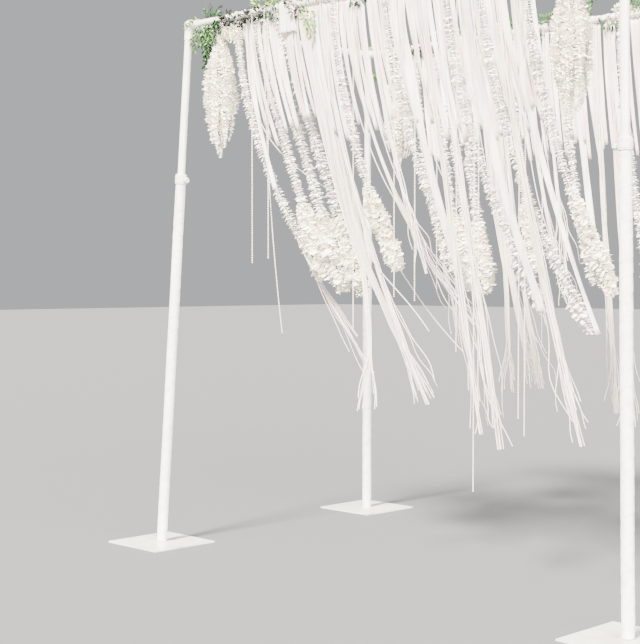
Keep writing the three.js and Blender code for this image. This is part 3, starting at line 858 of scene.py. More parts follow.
def grown(obj, tree_and_keys, values):
    """Runs a tree on an object and keeps the result as that object's plain mesh."""
    tree, keys = tree_and_keys
    modifier = obj.modifiers.new(tree.name, "NODES")
    modifier.node_group = tree
    for label, value in values.items():
        modifier[keys[label]] = value
    graph = bpy.context.evaluated_depsgraph_get()
    mesh = bpy.data.meshes.new_from_object(
        obj.evaluated_get(graph), preserve_all_data_layers=True, depsgraph=graph)
    obj.modifiers.clear()
    old = obj.data
    obj.data = mesh
    mesh.name = obj.name
    bpy.data.meshes.remove(old)
    return obj


def joined(name, objects):
    """Joins objects of one body in the first, which takes the name."""
    with bpy.context.temp_override(
            active_object=objects[0], selected_editable_objects=objects):
        bpy.ops.object.join()
    objects[0].name = name
    objects[0].data.name = name
    return objects[0]


def strings(name, lines, tints, thickness, sides=5, material=STRING):
    """Lines of string with a round section, as one object."""
    return grown(make_lines(name, lines, tints), STRINGS, {
        "Thickness": thickness, "Sides": sides, "Material": material})


def beads_on(name, lines, pattern, pitch):
    """Beads threaded on lines, as one object."""
    return grown(make_lines(name, lines, [0.5] * len(lines)), PEARLING, {
        "Bead": pattern, "Pitch": pitch, "Thread": 0.0010, "Material": PEARL})


def florets_on(lines, sizes, untidiness, tints, seed, material):
    """Florets threaded on lines, each line with its florets' sizes along it."""
    return grown(make_lines("florets", lines, [0.5] * len(lines), sizes), THREAD, {
        "Floret": threaded_floret, "Pitch": FLORET_PITCH, "Untidy": untidiness,
        "Tint Low": tints[0], "Tint High": tints[1], "Seed": seed, "Material": material})


# Small shapes that the trees repeat

def petal_body(angle, length, width, rise, tip):
    """One cupped petal with a rounded end, as a closed body of eight triangles."""
    d = np.array([math.cos(angle), math.sin(angle), 0])
    s = np.array([-math.sin(angle), math.cos(angle), 0])
    up = np.array([0, 0, 1.0])
    points = [
        d * length * 0.06,
        d * length * 0.58 + s * width / 2 + up * rise,
        d * length * 0.93 + s * width * 0.22 + up * tip,
        d * length - s * width * 0.12 + up * tip * 1.06,
        d * length * 0.62 - s * width / 2 + up * rise,
        d * length * 0.56 + up * (rise - 0.16 * width),
    ]
    faces = [(5, k, (k + 1) % 5) for k in range(5)]
    return points, faces + [(0, 2, 1), (0, 3, 2), (0, 4, 3)]


def petal_floret(name, length, width, rise, tip, heart):
    """A floret of five cupped petals, its heart marked for the material."""
    points, faces = merge([
        petal_body(2 * math.pi * k / 5, length, width, rise, tip) for k in range(5)])
    obj = make_piece(name, points, faces, PETAL, smooth=False)
    marks = [heart, 0.0, 0.0, 0.0, 0.0, 0.0] * 5
    obj.data.attributes.new("heart", "FLOAT", "POINT").data.foreach_set("value", marks)
    return obj


def leaf_shape(name, length, width, fold):
    """A pointed leaf along +Z, folded along its middle and curled back, as a closed body."""
    stations = [(0.0, 0.0), (0.22, 0.66), (0.52, 1.0), (0.8, 0.55), (1.0, 0.0)]
    thick = 0.0006
    points, faces = [], []
    for z, w in stations:
        curl = 0.28 * length * z * z
        edge = w * width / 2
        points += [
            (-edge, curl + fold * w, z * length), (0, curl, z * length),
            (edge, curl + fold * w, z * length), (0, curl - thick, z * length)]
    for i in range(len(stations) - 1):
        a, b = 4 * i, 4 * i + 4
        faces += [
            (a, a + 1, b + 1, b), (a + 1, a + 2, b + 2, b + 1),
            (a, b, b + 3, a + 3), (a + 3, b + 3, b + 2, a + 2)]
    return make_piece(name, points, faces, LEAF)


def bead_shape(name, radius, sides, rings):
    """A small round bead."""
    points, faces = ellipsoid((0, 0, 0), (radius,) * 3, sides, rings)
    return make_piece(name, points, faces, PEARL)


BLOOM = bloom_tree()
STRINGS = string_tree()
PEARLING = pearl_tree()
SPRIG = sprig_tree()
THREAD = thread_tree()

# The threaded floret is one metre in radius, and each line scales it to its own size
threaded_floret = petal_floret("threaded_floret", 1.0, 0.66, 0.06, 0.20, 0.1)
open_floret = petal_floret("open_floret", 0.0240, 0.0185, 0.0080, 0.0120, 0.55)
long_floret = petal_floret("long_floret", 0.0290, 0.0140, 0.0120, 0.0210, 0.5)
leaf = leaf_shape("leaf", 0.042, 0.024, 0.004)
slim_leaf = leaf_shape("slim_leaf", 0.036, 0.016, 0.003)
bead = bead_shape("bead", PEARL_SIZE / 2, 6, 4)
seed_bead = bead_shape("seed_bead", 0.0034, 5, 3)
PATTERNS = [threaded_floret, open_floret, long_floret, leaf, slim_leaf, bead, seed_bead]


def hang(obj, slot, *nodes):
    """Puts a piece on the head frame, in place of the solids named. Its slot is not used."""
    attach(obj, "head_frame")
    if nodes:
        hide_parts(*nodes)


# Strand routes

def shift(fall, lean, power, gust):
    return gust * lean * np.maximum(fall, 0) ** power


def route(side, at, fall, lean, power, count):
    """Points down a strand from the rail's sleeve to its end."""
    sign, gust = SIDES[side]
    falls = np.linspace(STRAND_TOP, fall, count)
    drift = shift(falls, lean, power, gust) - shift(STRAND_TOP, lean, power, gust)
    return np.stack([
        sign * RAIL_X + WIND[0] * drift,
        BACK_Y - at + WIND[1] * drift,
        RAIL_Z - falls], axis=1)


def distances(path):
    """How far along a path each of its points is."""
    return np.concatenate([[0], np.cumsum(np.linalg.norm(np.diff(path, axis=0), axis=1))])


def length_of(path):
    return float(np.linalg.norm(np.diff(path, axis=0), axis=1).sum())


# Cords: pearl strings and bundles of cotton strings

def pearl_string(side, number, at, fall):
    """Beads threaded on one line, hung beside the rail's sleeve."""
    sign, gust = SIDES[side]
    lean, power = BLOWN_PEARLS.get(f"{side}_{number}", (0.0, 1.0))
    falls = np.linspace(0, fall, 30)
    drift = shift(falls, lean, power, gust)
    line = np.stack([
        sign * RAIL_X - SLEEVE_RADIUS - GAP - PEARL_SIZE / 2 + WIND[0] * drift,
        BACK_Y - at + WIND[1] * drift, RAIL_Z - falls], axis=1)
    obj = beads_on(f"pearl_string_{side}_{number}", [line], bead, PEARL_PITCH)
    hang(obj, "beads", f"beaded_string_{side}_{number}")


def between(values, shares, at):
    """Rows of values read off at other shares of the way."""
    return np.stack([np.interp(at, shares, column) for column in np.transpose(values)], axis=1)


def beside(path, u, v, a, b):
    """A path moved by a along u and by b along v, both given for each of its points."""
    return path + a[:, None] * u + b[:, None] * v


def bundle_strings(path, radius, rng):
    """Strings of a bundle: their tight stretches, and the ends that come loose from it."""
    u, v = across(path)
    share = np.linspace(0, 1, len(path))
    count = int(6 + radius * 750)
    tight, loose = [], []
    for k in range(count):
        ring = radius * (0.25 if k < count * 0.25 else (0.60 if k < count * 0.55 else 0.85))
        waver = 1.1 * np.sin(2 * math.pi * (share * rng.uniform(1, 2) + rng.random()))
        angle = 2.4 * k + waver
        line = beside(path, u, v, ring * np.cos(angle), ring * np.sin(angle))
        wisp = k % 4 == 1
        leave = rng.uniform(0.50, 0.72) if wisp or radius < 0.010 else rng.uniform(0.74, 0.90)
        stop = len(path) if k % 3 == 0 else int(len(path) * leave)
        tight.append(line[:stop])
        if stop == len(path):
            continue
        t = np.linspace(share[stop - 1], rng.uniform(0.90, 1.0), 20)
        free = (t - t[0]) / (1 - t[0])
        swing = ring + free ** 1.6 * (rng.uniform(0.05, 0.12) if wisp else rng.uniform(0.015, 0.065))
        swing += (0.012 if wisp else 0.006) * free * np.sin(6 * free * math.pi + rng.uniform(0, 6))
        turn = np.interp(t, share, angle) + free * rng.uniform(-0.8, 0.8)
        ahead = (between(values, share, t) for values in (path, u, v))
        loose.append(beside(*ahead, swing * np.cos(turn), swing * np.sin(turn)))
    return tight, loose


def string_bundle(side, number, at, fall, lean, power, radius):
    """A hanging bundle of cotton strings: tight above, its ends spread like fingers."""
    rng = np.random.default_rng(BUNDLE_SEED[side] + number)
    path = route(side, at, fall, lean, power, 80)
    tight, loose = bundle_strings(path, radius, rng)
    beaded = tight[-5:] if number == BEADED_BUNDLE else []
    which = f"{side}_{number}"
    body = strings(f"string_bundle_{which}", tight, rng.random(len(tight)), STRING_SIZE)
    extras = [strings(
        f"string_ends_{which}", loose, rng.random(len(loose)), STRING_SIZE * 0.85, 4)]
    if beaded:
        extras.append(beads_on(f"bundle_beads_{which}", beaded, seed_bead, SEED_BEAD_PITCH))
    for obj in [body, *extras]:
        hang(obj, "curtain")


def loose_string(side, number, at, fall, lean, power, curl):
    """One string that the wind carries clear of the others, its end curling."""
    path = route(side, at, fall, lean, power, 70)
    share = np.linspace(0, 1, len(path))
    free = smoothstep(0.45, 1.0, share)
    turn = 2 * math.pi * (share * 2.3 + 0.37 * number)
    path = path + np.outer(curl * free * np.sin(turn), [WIND[0], WIND[1], 0.25])
    path = path + np.outer(curl * free * np.cos(turn), [0.5, 0.5, 0])
    obj = strings(f"loose_string_{side}_{number}", [path], [0.8], LOOSE_SIZE)
    hang(obj, "curtain")


for side in SIDES:
    for number, (at, fall) in enumerate(PEARLS[side], 1):
        pearl_string(side, number, at, fall)
    for number, sizes in enumerate(BUNDLES, 1):
        string_bundle(side, number, *sizes)
    for number, sizes in enumerate(LOOSE_STRINGS, 1):
        loose_string(side, number, *sizes)


# Sheets: satin ribbons, the wide band of cords and the folded cloth

def strip(path, widths, twists):
    """A ribbon along a path, turned by a twist at each ring."""
    sections, rows = [], np.linspace(-0.5, 0.5, RIBBON_POINTS)
    for width, twist in zip(widths, twists):
        c, s = math.cos(twist), math.sin(twist)
        cup = 0.05 * width
        front = [(r * width, cup * (1 - 4 * r * r) + RIBBON_THICKNESS / 2) for r in rows]
        back = [(r * width, cup * (1 - 4 * r * r) - RIBBON_THICKNESS / 2) for r in reversed(rows)]
        sections.append([(b * c - a * s, a * c + b * s) for a, b in front + back])
    return sweep(path, sections)


LOOP_SIDES = 10


def rail_loop(side, at, width):
    """The flat loop with which a ribbon is tied round the rail."""
    sign, _ = SIDES[side]
    inner, outer, half = RAIL_RADIUS + 0.0006, RAIL_RADIUS + 0.0022, width * 0.42
    band = turned([(inner, -half), (outer, -half), (outer, half), (inner, half)], LOOP_SIDES)
    return placed(band, aimed((0, 1, 0), (sign * RAIL_X, BACK_Y - at, RAIL_Z)))


def strip_uv(path, widths):
    """Metres along and across a ribbon, for both its faces."""
    rows = np.linspace(-0.5, 0.5, RIBBON_POINTS)
    return [
        (r * width, far)
        for far, width in zip(distances(path), widths)
        for r in [*rows, *rows[::-1]]]


def satin_ribbon(side, number, at, fall, lean, power, width):
    """A satin ribbon that narrows, flutters and turns on its way down."""
    rng = np.random.default_rng(RIBBON_SEED + number)
    path = route(side, at, fall, lean, power, 56)
    share = np.linspace(0, 1, len(path))
    narrowing = 1 - 0.35 * smoothstep(0.15, 0.7, share)
    flutter = 0.010 * np.sin(2 * math.pi * (share * rng.uniform(1.5, 2.5) + rng.random()))
    path = path + np.outer(flutter * smoothstep(0.1, 0.5, share), [0.7, 0.7, 0])
    widths = width * narrowing
    turn = rng.uniform(0.5, 1.6)
    twists = turn * smoothstep(0.1, 0.9, share) + 0.35 * np.sin(
        2 * math.pi * share * rng.uniform(1, 3) + rng.uniform(0, 6))
    name = f"satin_ribbon_{side}_{number}"
    obj = make_piece(name, *strip(path, widths, twists), SATIN, strip_uv(path, widths))
    hang(obj, "curtain")


def fringe_string(side, start, parting, rng, group):
    """The free end of one cord of the band: with its group first, then on its own."""
    _, fall, lean, power, _ = BAND
    gust = SIDES[side][1]
    end = fall * (1.025 if group == "straight" else 1.0) * rng.uniform(0.955, 1.0)
    t = np.linspace(0, 1, 20)
    falls = fall * parting + t * (end - fall * parting)
    drift = shift(falls, lean, power, gust) - shift(fall * parting, lean, power, gust)
    if group == "straight":
        drift = drift * 0.15 + gust * 0.02 * np.sin(t * math.pi)
    else:
        drift = drift * 1.35 + gust * 0.03 * t
    tip = smoothstep(0.62, 1.0, t)
    finger = rng.integers(-2, 3) * 0.022 + rng.normal(0, 0.006)
    back = rng.normal(0, 0.020)
    across_wind = drift + finger * tip + 0.004 * np.sin(5 * t * math.pi + rng.uniform(0, 6)) * t
    return np.stack([
        start[0] + WIND[0] * across_wind + 0.7 * back * tip,
        start[1] + WIND[1] * across_wind + 0.7 * back * tip,
        start[2] - t * (end - fall * parting)], axis=1)


def cord_band(side):
    """The wide band: cotton cords hung side by side, which part in two fringes at the end."""
    at, fall, lean, power, width = BAND
    rng = np.random.default_rng(BAND_SEED[side])
    path = route(side, at, fall, lean, power, 60)
    share = np.linspace(0, 1, len(path))
    u, v = across(path)
    widths = width * (1 - 0.50 * smoothstep(0.40, 0.72, share))
    stop = int(len(path) * BAND_PARTING)
    band, fringe = [], []
    for k in range(BAND_CORDS):
        r = (k + 0.5) / BAND_CORDS - 0.5
        layer = (k % 2 - 0.5) * 0.006 * smoothstep(0.1, 0.5, share)
        weave = 0.0015 * np.sin(2 * math.pi * (share * 5 + k * 0.37))
        line = beside(path, u, v, layer + weave, r * widths)
        band.append(line[:stop])
        group = "straight" if k > BAND_CORDS * BAND_BLOWN else "blown"
        fringe.append(fringe_string(side, line[stop - 1], share[stop - 1], rng, group))
    body = strings(f"cord_band_{side}", band, rng.random(BAND_CORDS), BAND_CORD_SIZE)
    ends = strings(f"cord_fringe_{side}", fringe, rng.random(BAND_CORDS), STRING_SIZE)
    for obj in (body, ends):
        hang(obj, "curtain")


def cloth_outline(middle):
    """The section of the folded cloth: up its outer face, over the rail, and down inside."""
    radius, inner_drop = SLEEVE_RADIUS + 0.0012, 0.13
    outer = [
        (middle - radius + 0.020 * (1 - k / 12), RAIL_Z - PANEL["drop"] * (1 - k / 12))
        for k in range(12)]
    over = [
        (middle - radius * math.cos(t), RAIL_Z + radius * math.sin(t))
        for t in np.linspace(0, math.pi, 11)]
    inner = [(middle + radius + 0.002, RAIL_Z - inner_drop * k / 12) for k in range(1, 13)]
    return np.array(outer + over + inner)


def cloth_faces(n, columns):
    """Both faces of a cloth of columns with n points each, and the rim between them."""
    faces, half = [], columns * n
    for c in range(columns - 1):
        for i in range(n - 1):
            a = c * n + i
            faces.append((a, a + 1, a + n + 1, a + n))
            faces.append((half + a, half + a + n, half + a + n + 1, half + a + 1))
    rim = [*range(n), *(c * n + n - 1 for c in range(1, columns))]
    rim += [(columns - 1) * n + i for i in range(n - 2, -1, -1)]
    rim += [c * n for c in range(columns - 2, 0, -1)]
    return faces + [(a, half + a, half + b, b) for a, b in zip(rim, rim[1:] + rim[:1])]


def folded_cloth(side):
    """A short cloth folded over the rail, pleated by the tie, its front end hanging outside."""
    outline = cloth_outline(SIDES[side][0] * RAIL_X)
    far = distances(outline)
    spans = np.linspace(PANEL["start"], PANEL["end"], PANEL["columns"])
    normal = np.gradient(outline, axis=0)
    normal = np.stack([-normal[:, 1], normal[:, 0]], axis=1)
    normal /= np.linalg.norm(normal, axis=1)[:, None]
    depth = np.maximum(RAIL_Z - outline[:, 1], 0) / PANEL["drop"]
    below = np.clip(depth, 0, 1)
    points, uv = [], []
    for layer in (0.5, -0.5):
        for c, y in enumerate(spans):
            turn = PANEL["pleats"] * 2 * math.pi * c / (PANEL["columns"] - 1)
            fold = 0.0022 * math.sin(turn) * smoothstep(0.02, 0.8, depth)
            spot = outline + normal * (layer * PANEL["thickness"] + fold)[:, None]
            spot[:, 1] += 0.003 * math.sin(0.6 * turn + 1.0) * below ** 3
            spread = (y - spans.mean()) * (0.80 + 0.20 * below) + spans.mean()
            points += [(x, BACK_Y - s, z) for (x, z), s in zip(spot, spread)]
            uv += [(y, f) for f in far]
    faces = cloth_faces(len(outline), PANEL["columns"])
    obj = make_piece(f"folded_cloth_{side}", points, faces, SATIN, uv)
    hang(obj, "curtain")


def short_ribbons(side, number, stops, rng):
    """A row of slim satin ribbons of uneven length, which close the curtain near the rail."""
    parts, uv, spread, longest = [], [], 0.0, 0.0
    for at in stops:
        fall = np.interp(at, SHORT_FALLS["at"], SHORT_FALLS["fall"]) * rng.uniform(0.86, 1.08)
        width = SHORT_RIBBONS["width"] * rng.uniform(0.7, 1.15)
        at += rng.uniform(-0.01, 0.01)
        path = route(side, at, fall, rng.uniform(0.17, 0.26), 1.6, 18)
        share = np.linspace(0, 1, len(path))
        side_step = rng.uniform(-0.014, 0.014) * smoothstep(0.0, 0.2, share)
        path = path + np.outer(side_step, [1.0, 0, 0])
        widths = width * (1 - 0.3 * smoothstep(0.2, 1.0, share))
        twists = rng.uniform(-0.2, 0.9) * share + 0.3 * np.sin(6 * share + rng.uniform(0, 6))
        parts.append(strip(path, widths, twists))
        uv += strip_uv(path, widths)
        parts.append(rail_loop(side, at, width))
        uv += [(x * width, 0.0) for x in (0, 0, 1, 1)] * LOOP_SIDES
        spread += width
        longest = max(longest, length_of(path))
    points, faces = merge(parts)
    finish = BLUSH_SATIN if number % 2 else SATIN
    obj = make_piece(f"short_ribbons_{side}_{number}", points, faces, finish, uv)
    hang(obj, "curtain")


def all_short_ribbons(side):
    """The whole row, dealt out in turn to a few pieces."""
    rng = np.random.default_rng(SHORT_SEED[side])
    stops = np.arange(SHORT_RIBBONS["first"], SHORT_RIBBONS["last"], SHORT_RIBBONS["pitch"])
    for number in range(SHORT_RIBBONS["groups"]):
        short_ribbons(side, number + 1, stops[number::SHORT_RIBBONS["groups"]], rng)


for side in SIDES:
    for number, sizes in enumerate(RIBBONS, 1):
        satin_ribbon(side, number, *sizes)
    all_short_ribbons(side)
    cord_band(side)
    folded_cloth(side)


# Petal garlands

def garland_line(side, at, fall, lean, power, radius, swell):
    """The line of a garland, and how far its petals reach from it all the way down."""
    path = route(side, at, fall, lean, power, 60)
    share = np.linspace(0, 1, len(path))
    gathered = 0.80 + 0.25 * smoothstep(0.05, 0.30, share)
    swelling = 1 + swell * smoothstep(0.68, 0.86, share)
    uneven = 1 + 0.10 * np.sin(share * fall * 19 + at * 40)
    tapered = 1 - 0.45 * smoothstep(0.95, 1.0, share)
    return path, radius * gathered * swelling * uneven * tapered


def garland_group(side, number, strands):
    """Garlands of one group: florets threaded on twine, and open flowers on the full ends."""
    seed = GARLAND_SEED + number
    paths, radii = zip(*(garland_line(side, *sizes) for sizes in strands))
    layers = [
        strings("twine", paths, [0.5] * len(paths), 0.006, 4),
        florets_on(paths, radii, 0.35, (0.0, 1.0), seed, PETAL)]
    for path, reach, sizes in zip(paths, radii, strands):
        if sizes[5] >= FULL_SWELL:
            end = slice(int(len(path) * FULL_FROM), None)
            base = make_piece("flowers", *tube(path[end], reach[end] * 0.62, 10), BLOSSOM)
            layers.append(grown(base, BLOOM, {
                "Floret": open_floret, "Spacing": 0.023, "Smallest": 0.75, "Largest": 1.25,
                "Droop": 0.25, "Untidy": 0.45, "Tint Low": 0.1, "Tint High": 1.0,
                "Seed": seed, "Material": BLOSSOM}))
    hang(joined(f"petal_garlands_{side}_{number}", layers), "curtain", f"curtain_{side}_{number}")


for side in SIDES:
    for number, strands in enumerate(GARLANDS, 1):
        garland_group(side, number, strands)


# Corner leaves and hanging blossom

def corner_point(corner):
    x, y = CORNERS[corner]
    return Vector((x * RAIL_X, y * BACK_Y, RAIL_Z))


# Sprigs of one corner: where they spring from (along the rail, out, up), which way they set
# out, their length, how much they droop, and their tints
CORNER_SPRIGS = [
    ((0.195, 0.000, 0.015), (0.05, 0.15, 1.00), 0.080, 0.10, 0.05, 0.42),
    ((0.180, 0.000, 0.015), (0.20, -0.20, 0.90), 0.065, 0.20, 0.10, 0.60),
    ((0.215, 0.000, 0.015), (-0.10, 0.50, 0.80), 0.080, 0.15, 0.05, 0.40),
    ((0.235, 0.000, 0.010), (0.20, 1.00, 0.30), 0.070, 0.20, 0.10, 0.50),
    ((0.085, 0.000, 0.014), (0.25, -0.70, 0.35), 0.075, 0.45, 0.50, 0.92),
    ((0.045, 0.000, 0.014), (0.20, -0.80, 0.15), 0.065, 0.50, 0.55, 0.92),
    ((0.100, 0.005, -0.020), (0.35, -0.35, -0.60), 0.085, 0.60, 0.40, 0.85),
    ((0.130, 0.000, -0.020), (0.45, 0.10, -0.80), 0.115, 0.50, 0.25, 0.75),
    ((0.170, 0.000, -0.020), (0.50, 0.60, -0.60), 0.130, 0.60, 0.10, 0.75),
    ((0.150, 0.000, -0.020), (-0.60, -0.20, -0.60), 0.125, 0.50, 0.30, 0.80),
    ((0.200, 0.000, -0.020), (-0.40, 0.60, -0.60), 0.120, 0.60, 0.05, 0.60),
    ((0.220, 0.000, -0.010), (0.40, 0.80, -0.20), 0.120, 0.50, 0.00, 0.45),
    ((0.240, 0.000, -0.015), (0.50, 0.60, -0.60), 0.100, 0.60, 0.00, 0.50),
    ((0.150, 0.000, -0.050), (0.02, 0.05, -1.00), 0.195, 0.10, 0.08, 0.45),
    ((0.158, 0.000, -0.050), (-0.05, 0.05, -1.00), 0.180, 0.10, 0.10, 0.50),
    ((0.168, 0.000, -0.040), (0.02, -0.05, -1.00), 0.160, 0.10, 0.15, 0.60),
    ((0.180, 0.000, -0.030), (0.05, 0.05, -1.00), 0.130, 0.10, 0.20, 0.70),
]
STEM_SIZE = 0.0018


def sprig_line(start, direction, length, droop):
    """A stem that sets out in a direction and bends down under its leaves."""
    t = np.linspace(0, 1, 12)
    way = np.asarray(direction, float) / np.linalg.norm(direction)
    line = np.asarray(start, float) + t[:, None] * way * length
    line[:, 2] -= droop * length * t ** 2
    return line


def corner_leaves(corner, seed):
    """Sprigs of leaves wired round a corner, which trail down beside the post."""
    rng = np.random.default_rng(seed)
    head = corner_point(corner)
    x, y = CORNERS[corner]
    layers = []
    for k, ((along, beside, up), (away, onward, rise), length, droop, low, high) in enumerate(
            CORNER_SPRIGS):
        stems = []
        for _ in range(2):
            start = Vector((head.x + x * beside, head.y - y * along, head.z + up))
            start += Vector(rng.uniform(-0.012, 0.012, 3))
            way = np.array([x * away, -y * onward, rise]) + rng.uniform(-0.15, 0.15, 3)
            stems.append(sprig_line(start, way, length * rng.uniform(0.75, 1.05), droop))
        layers.append(grown(make_lines("stems", stems, [low] * len(stems)), SPRIG, {
            "Leaf": leaf if k % 3 else slim_leaf, "Pitch": 0.0105, "Stem": STEM_SIZE / 2,
            "Smallest": 0.60, "Largest": 1.0, "Tint Low": low, "Tint High": high,
            "Seed": seed + k, "Material": LEAF}))
    hang(joined(f"corner_leaves_{corner}", layers), "leaves", f"leaf_mass_{corner}")


def raceme(top, angle, reach, start, end, fullness, rng):
    """The line of one raceme inside the outline of its cluster, and its florets' sizes."""
    shares, widths = np.transpose(CLUSTER_OUTLINE)
    t = np.linspace(0, 1, 24)
    share = start + t * (end - start)
    out_by = reach * CLUSTER["radius"] * np.interp(share, shares, widths)
    out_by = out_by * (1 + 0.30 * t * rng.uniform(-1, 1))
    path = np.stack([
        top.x + out_by * math.cos(angle) + 0.004 * np.sin(9 * t + angle),
        top.y + out_by * math.sin(angle) + 0.004 * np.sin(8 * t + 2 * angle),
        top.z - share * CLUSTER["drop"]], axis=1)
    sizes = fullness * (0.55 + 0.45 * smoothstep(0.0, 0.25, t)) * (1 - 0.62 * smoothstep(0.6, 1.0, t))
    return path, sizes


def blossom_racemes(corner, seed):
    """Wisteria: racemes of different length hung close together, widest below the middle."""
    rng = np.random.default_rng(seed)
    head = corner_point(corner)
    y = CORNERS[corner][1]
    top = Vector((head.x, head.y - y * CLUSTER["inset"], head.z - RAIL_RADIUS))
    racemes = [raceme(top, 0.0, 0.06, 0.0, 0.985, 0.032, rng)]
    for count, step, first, reach, start, end, fullness in RACEME_RINGS:
        for k in range(count):
            racemes.append(raceme(
                top, step * k + first, reach, rng.uniform(*start), rng.uniform(*end), fullness, rng))
    paths, sizes = zip(*racemes)
    layers = [
        florets_on(paths, sizes, 0.75, (0.2, 0.8), seed, BLOSSOM),
        strings("twigs", paths, [0.5] * len(paths), 0.004, material=BLOSSOM)]
    hang(joined(f"blossom_racemes_{corner}", layers), "blossom", f"blossom_cluster_{corner}")


for number, corner in enumerate(CORNERS):
    corner_leaves(corner, LEAF_SEED + 20 * number)
    blossom_racemes(corner, RACEME_SEED + number)


# Clumps along a side rail: place along it, above or below it, half length and tints. The near-black
# tints of the clumps under the rail are painted shade.
RAIL_CLUMPS = [
    (0.335, 0.000, 0.035, 0.00, 0.12), (0.375, -0.012, 0.040, 0.00, 0.08),
    (0.420, -0.026, 0.045, 0.00, 0.08), (0.460, -0.034, 0.045, 0.00, 0.12),
    (0.540, -0.010, 0.040, 0.00, 0.12), (0.585, -0.018, 0.045, 0.00, 0.06),
    (0.640, -0.014, 0.045, 0.00, 0.10), (0.690, -0.006, 0.035, 0.00, 0.25),
    (0.640, 0.048, 0.060, 0.55, 1.00), (0.740, 0.050, 0.070, 0.60, 1.00),
    (0.760, -0.030, 0.035, 0.10, 0.45), (0.890, -0.004, 0.030, 0.00, 0.12),
    (0.960, -0.010, 0.032, 0.00, 0.12), (0.925, -0.045, 0.028, 0.00, 0.14),
    (1.030, -0.075, 0.030, 0.70, 1.00), (1.045, -0.125, 0.026, 0.70, 1.00),
    (1.060, -0.165, 0.020, 0.60, 0.90), (1.020, 0.040, 0.060, 0.40, 0.90),
    (1.250, 0.044, 0.080, 0.35, 0.90), (1.400, -0.030, 0.060, 0.05, 0.40),
    (1.520, 0.042, 0.080, 0.20, 0.80), (1.720, 0.044, 0.080, 0.45, 1.00),
    (1.950, -0.030, 0.070, 0.05, 0.40), (2.100, 0.044, 0.080, 0.40, 0.95),
    (2.320, 0.042, 0.080, 0.20, 0.80), (2.460, -0.030, 0.070, 0.10, 0.60),
]
# Tufts of white blossom among them: place along the rail, above or below it, half length
RAIL_TUFTS = [
    (0.345, -0.085, 0.030), (0.385, -0.105, 0.030), (0.425, -0.080, 0.030),
    (0.430, -0.130, 0.022), (0.925, 0.010, 0.030), (1.120, 0.034, 0.040),
    (1.620, 0.032, 0.050), (2.020, 0.034, 0.045), (2.400, 0.032, 0.045),
]


def rail_clumps(side, name, clumps, floret, spacing, sizes, material):
    """Leaves or florets over small lumps laid along a side rail."""
    sign, _ = SIDES[side]
    parts = []
    for k, (at, up, half, *tints) in enumerate(clumps):
        low, high = tints or (0.0, 1.0)
        centre = (sign * RAIL_X, BACK_Y - at, RAIL_Z + up)
        base = make_piece("clump", *ellipsoid(centre, (0.028, half, 0.022)), material)
        parts.append(grown(base, BLOOM, {
            "Floret": floret, "Spacing": spacing, "Smallest": sizes[0], "Largest": sizes[1],
            "Droop": 0.2 if up < 0 else -0.2, "Untidy": 0.8, "Tint Low": low,
            "Tint High": high, "Seed": CLUMP_SEED + k, "Material": material}))
    return joined(f"{name}_{side}", parts)


for side in SIDES:
    leaves = rail_clumps(side, "rail_leaves", RAIL_CLUMPS, leaf, 0.0145, (0.55, 0.95), LEAF)
    hang(leaves, "leaves", f"rail_greens_{side}")
    tufts = rail_clumps(side, "rail_blossom", RAIL_TUFTS, long_floret, 0.022, (0.6, 1.0), BLOSSOM)
    hang(tufts, "blossom")


# Posts, collars, rails and fittings

def wound_strip(start, end, radius, pitch, lift, seed, per_turn=30):
    """A cloth strip wound in overlapping turns round the +Z axis, as one closed body."""
    rng = np.random.default_rng(seed)
    steps = int((end - start) / pitch * per_turn)
    phase = rng.uniform(0, 6, 3)
    points = []
    for i in range(steps + 1):
        t = 2 * math.pi * i / per_turn
        z = start + (end - start - pitch) * i / steps
        z += pitch * 0.06 * math.sin(0.31 * t + phase[0])
        width = pitch * (1.16 + 0.06 * math.sin(0.17 * t + phase[1]))
        pleat = lift * 0.25 * math.sin(3.1 * t + phase[2])
        low, high = max(z, start), min(z + width, end)
        for r, h in (
                (radius, low), (radius + lift + pleat, low + 0.0008),
                (radius + lift * 0.7 + pleat, (low + high) / 2), (radius + lift * 0.25, high),
                (radius - lift * 0.3, high)):
            points.append((r * math.cos(t), r * math.sin(t), h))
    return points, closed_faces(steps + 1, 5)


def pipe(bore, outer, start, end):
    """A tube along +Z, its outer edges chamfered."""
    edge = 0.0006
    return turned([
        (bore, start), (outer - edge, start), (outer, start + edge), (outer, end - edge),
        (outer - edge, end), (bore, end)], PIPE_SIDES)


def leg_line(corner):
    """Where a leg's axis meets the ground, and where it meets the rails."""
    head = corner_point(corner)
    x, y = CORNERS[corner]
    return Vector((head.x + x * SPLAY, head.y + y * SPLAY, 0)), head


def keep_piece(name, parts, material, body, slot, *nodes):
    """A hard piece, smooth but for its edges, that rides on a body in place of its nodes."""
    obj = make_piece(name, *merge(parts), material)
    obj.data.set_sharp_from_angle(angle=math.radians(35))
    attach(obj, body)
    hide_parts(*nodes)


def collar():
    """The moulded collar, stepped where it changes from the lower tube to the upper one."""
    r, t = COLLAR_RADIUS, UPPER_RADIUS + GAP
    return turned([
        (t, COLLAR_TOP), (r - 0.006, COLLAR_TOP), (r - 0.0035, COLLAR_TOP - 0.002),
        (r - 0.001, COLLAR_TOP - 0.007), (r - 0.001, COLLAR_TOP - 0.012),
        (r, COLLAR_TOP - 0.013), (r, COLLAR_START + 0.010), (r - 0.0015, COLLAR_START + 0.008),
        (r - 0.0015, COLLAR_START + 0.001), (r - 0.0025, COLLAR_START),
        (LOWER_RADIUS + GAP, COLLAR_START), (LOWER_RADIUS + GAP, LOWER_TOP + GAP),
        (t, LOWER_TOP + GAP)], 48)


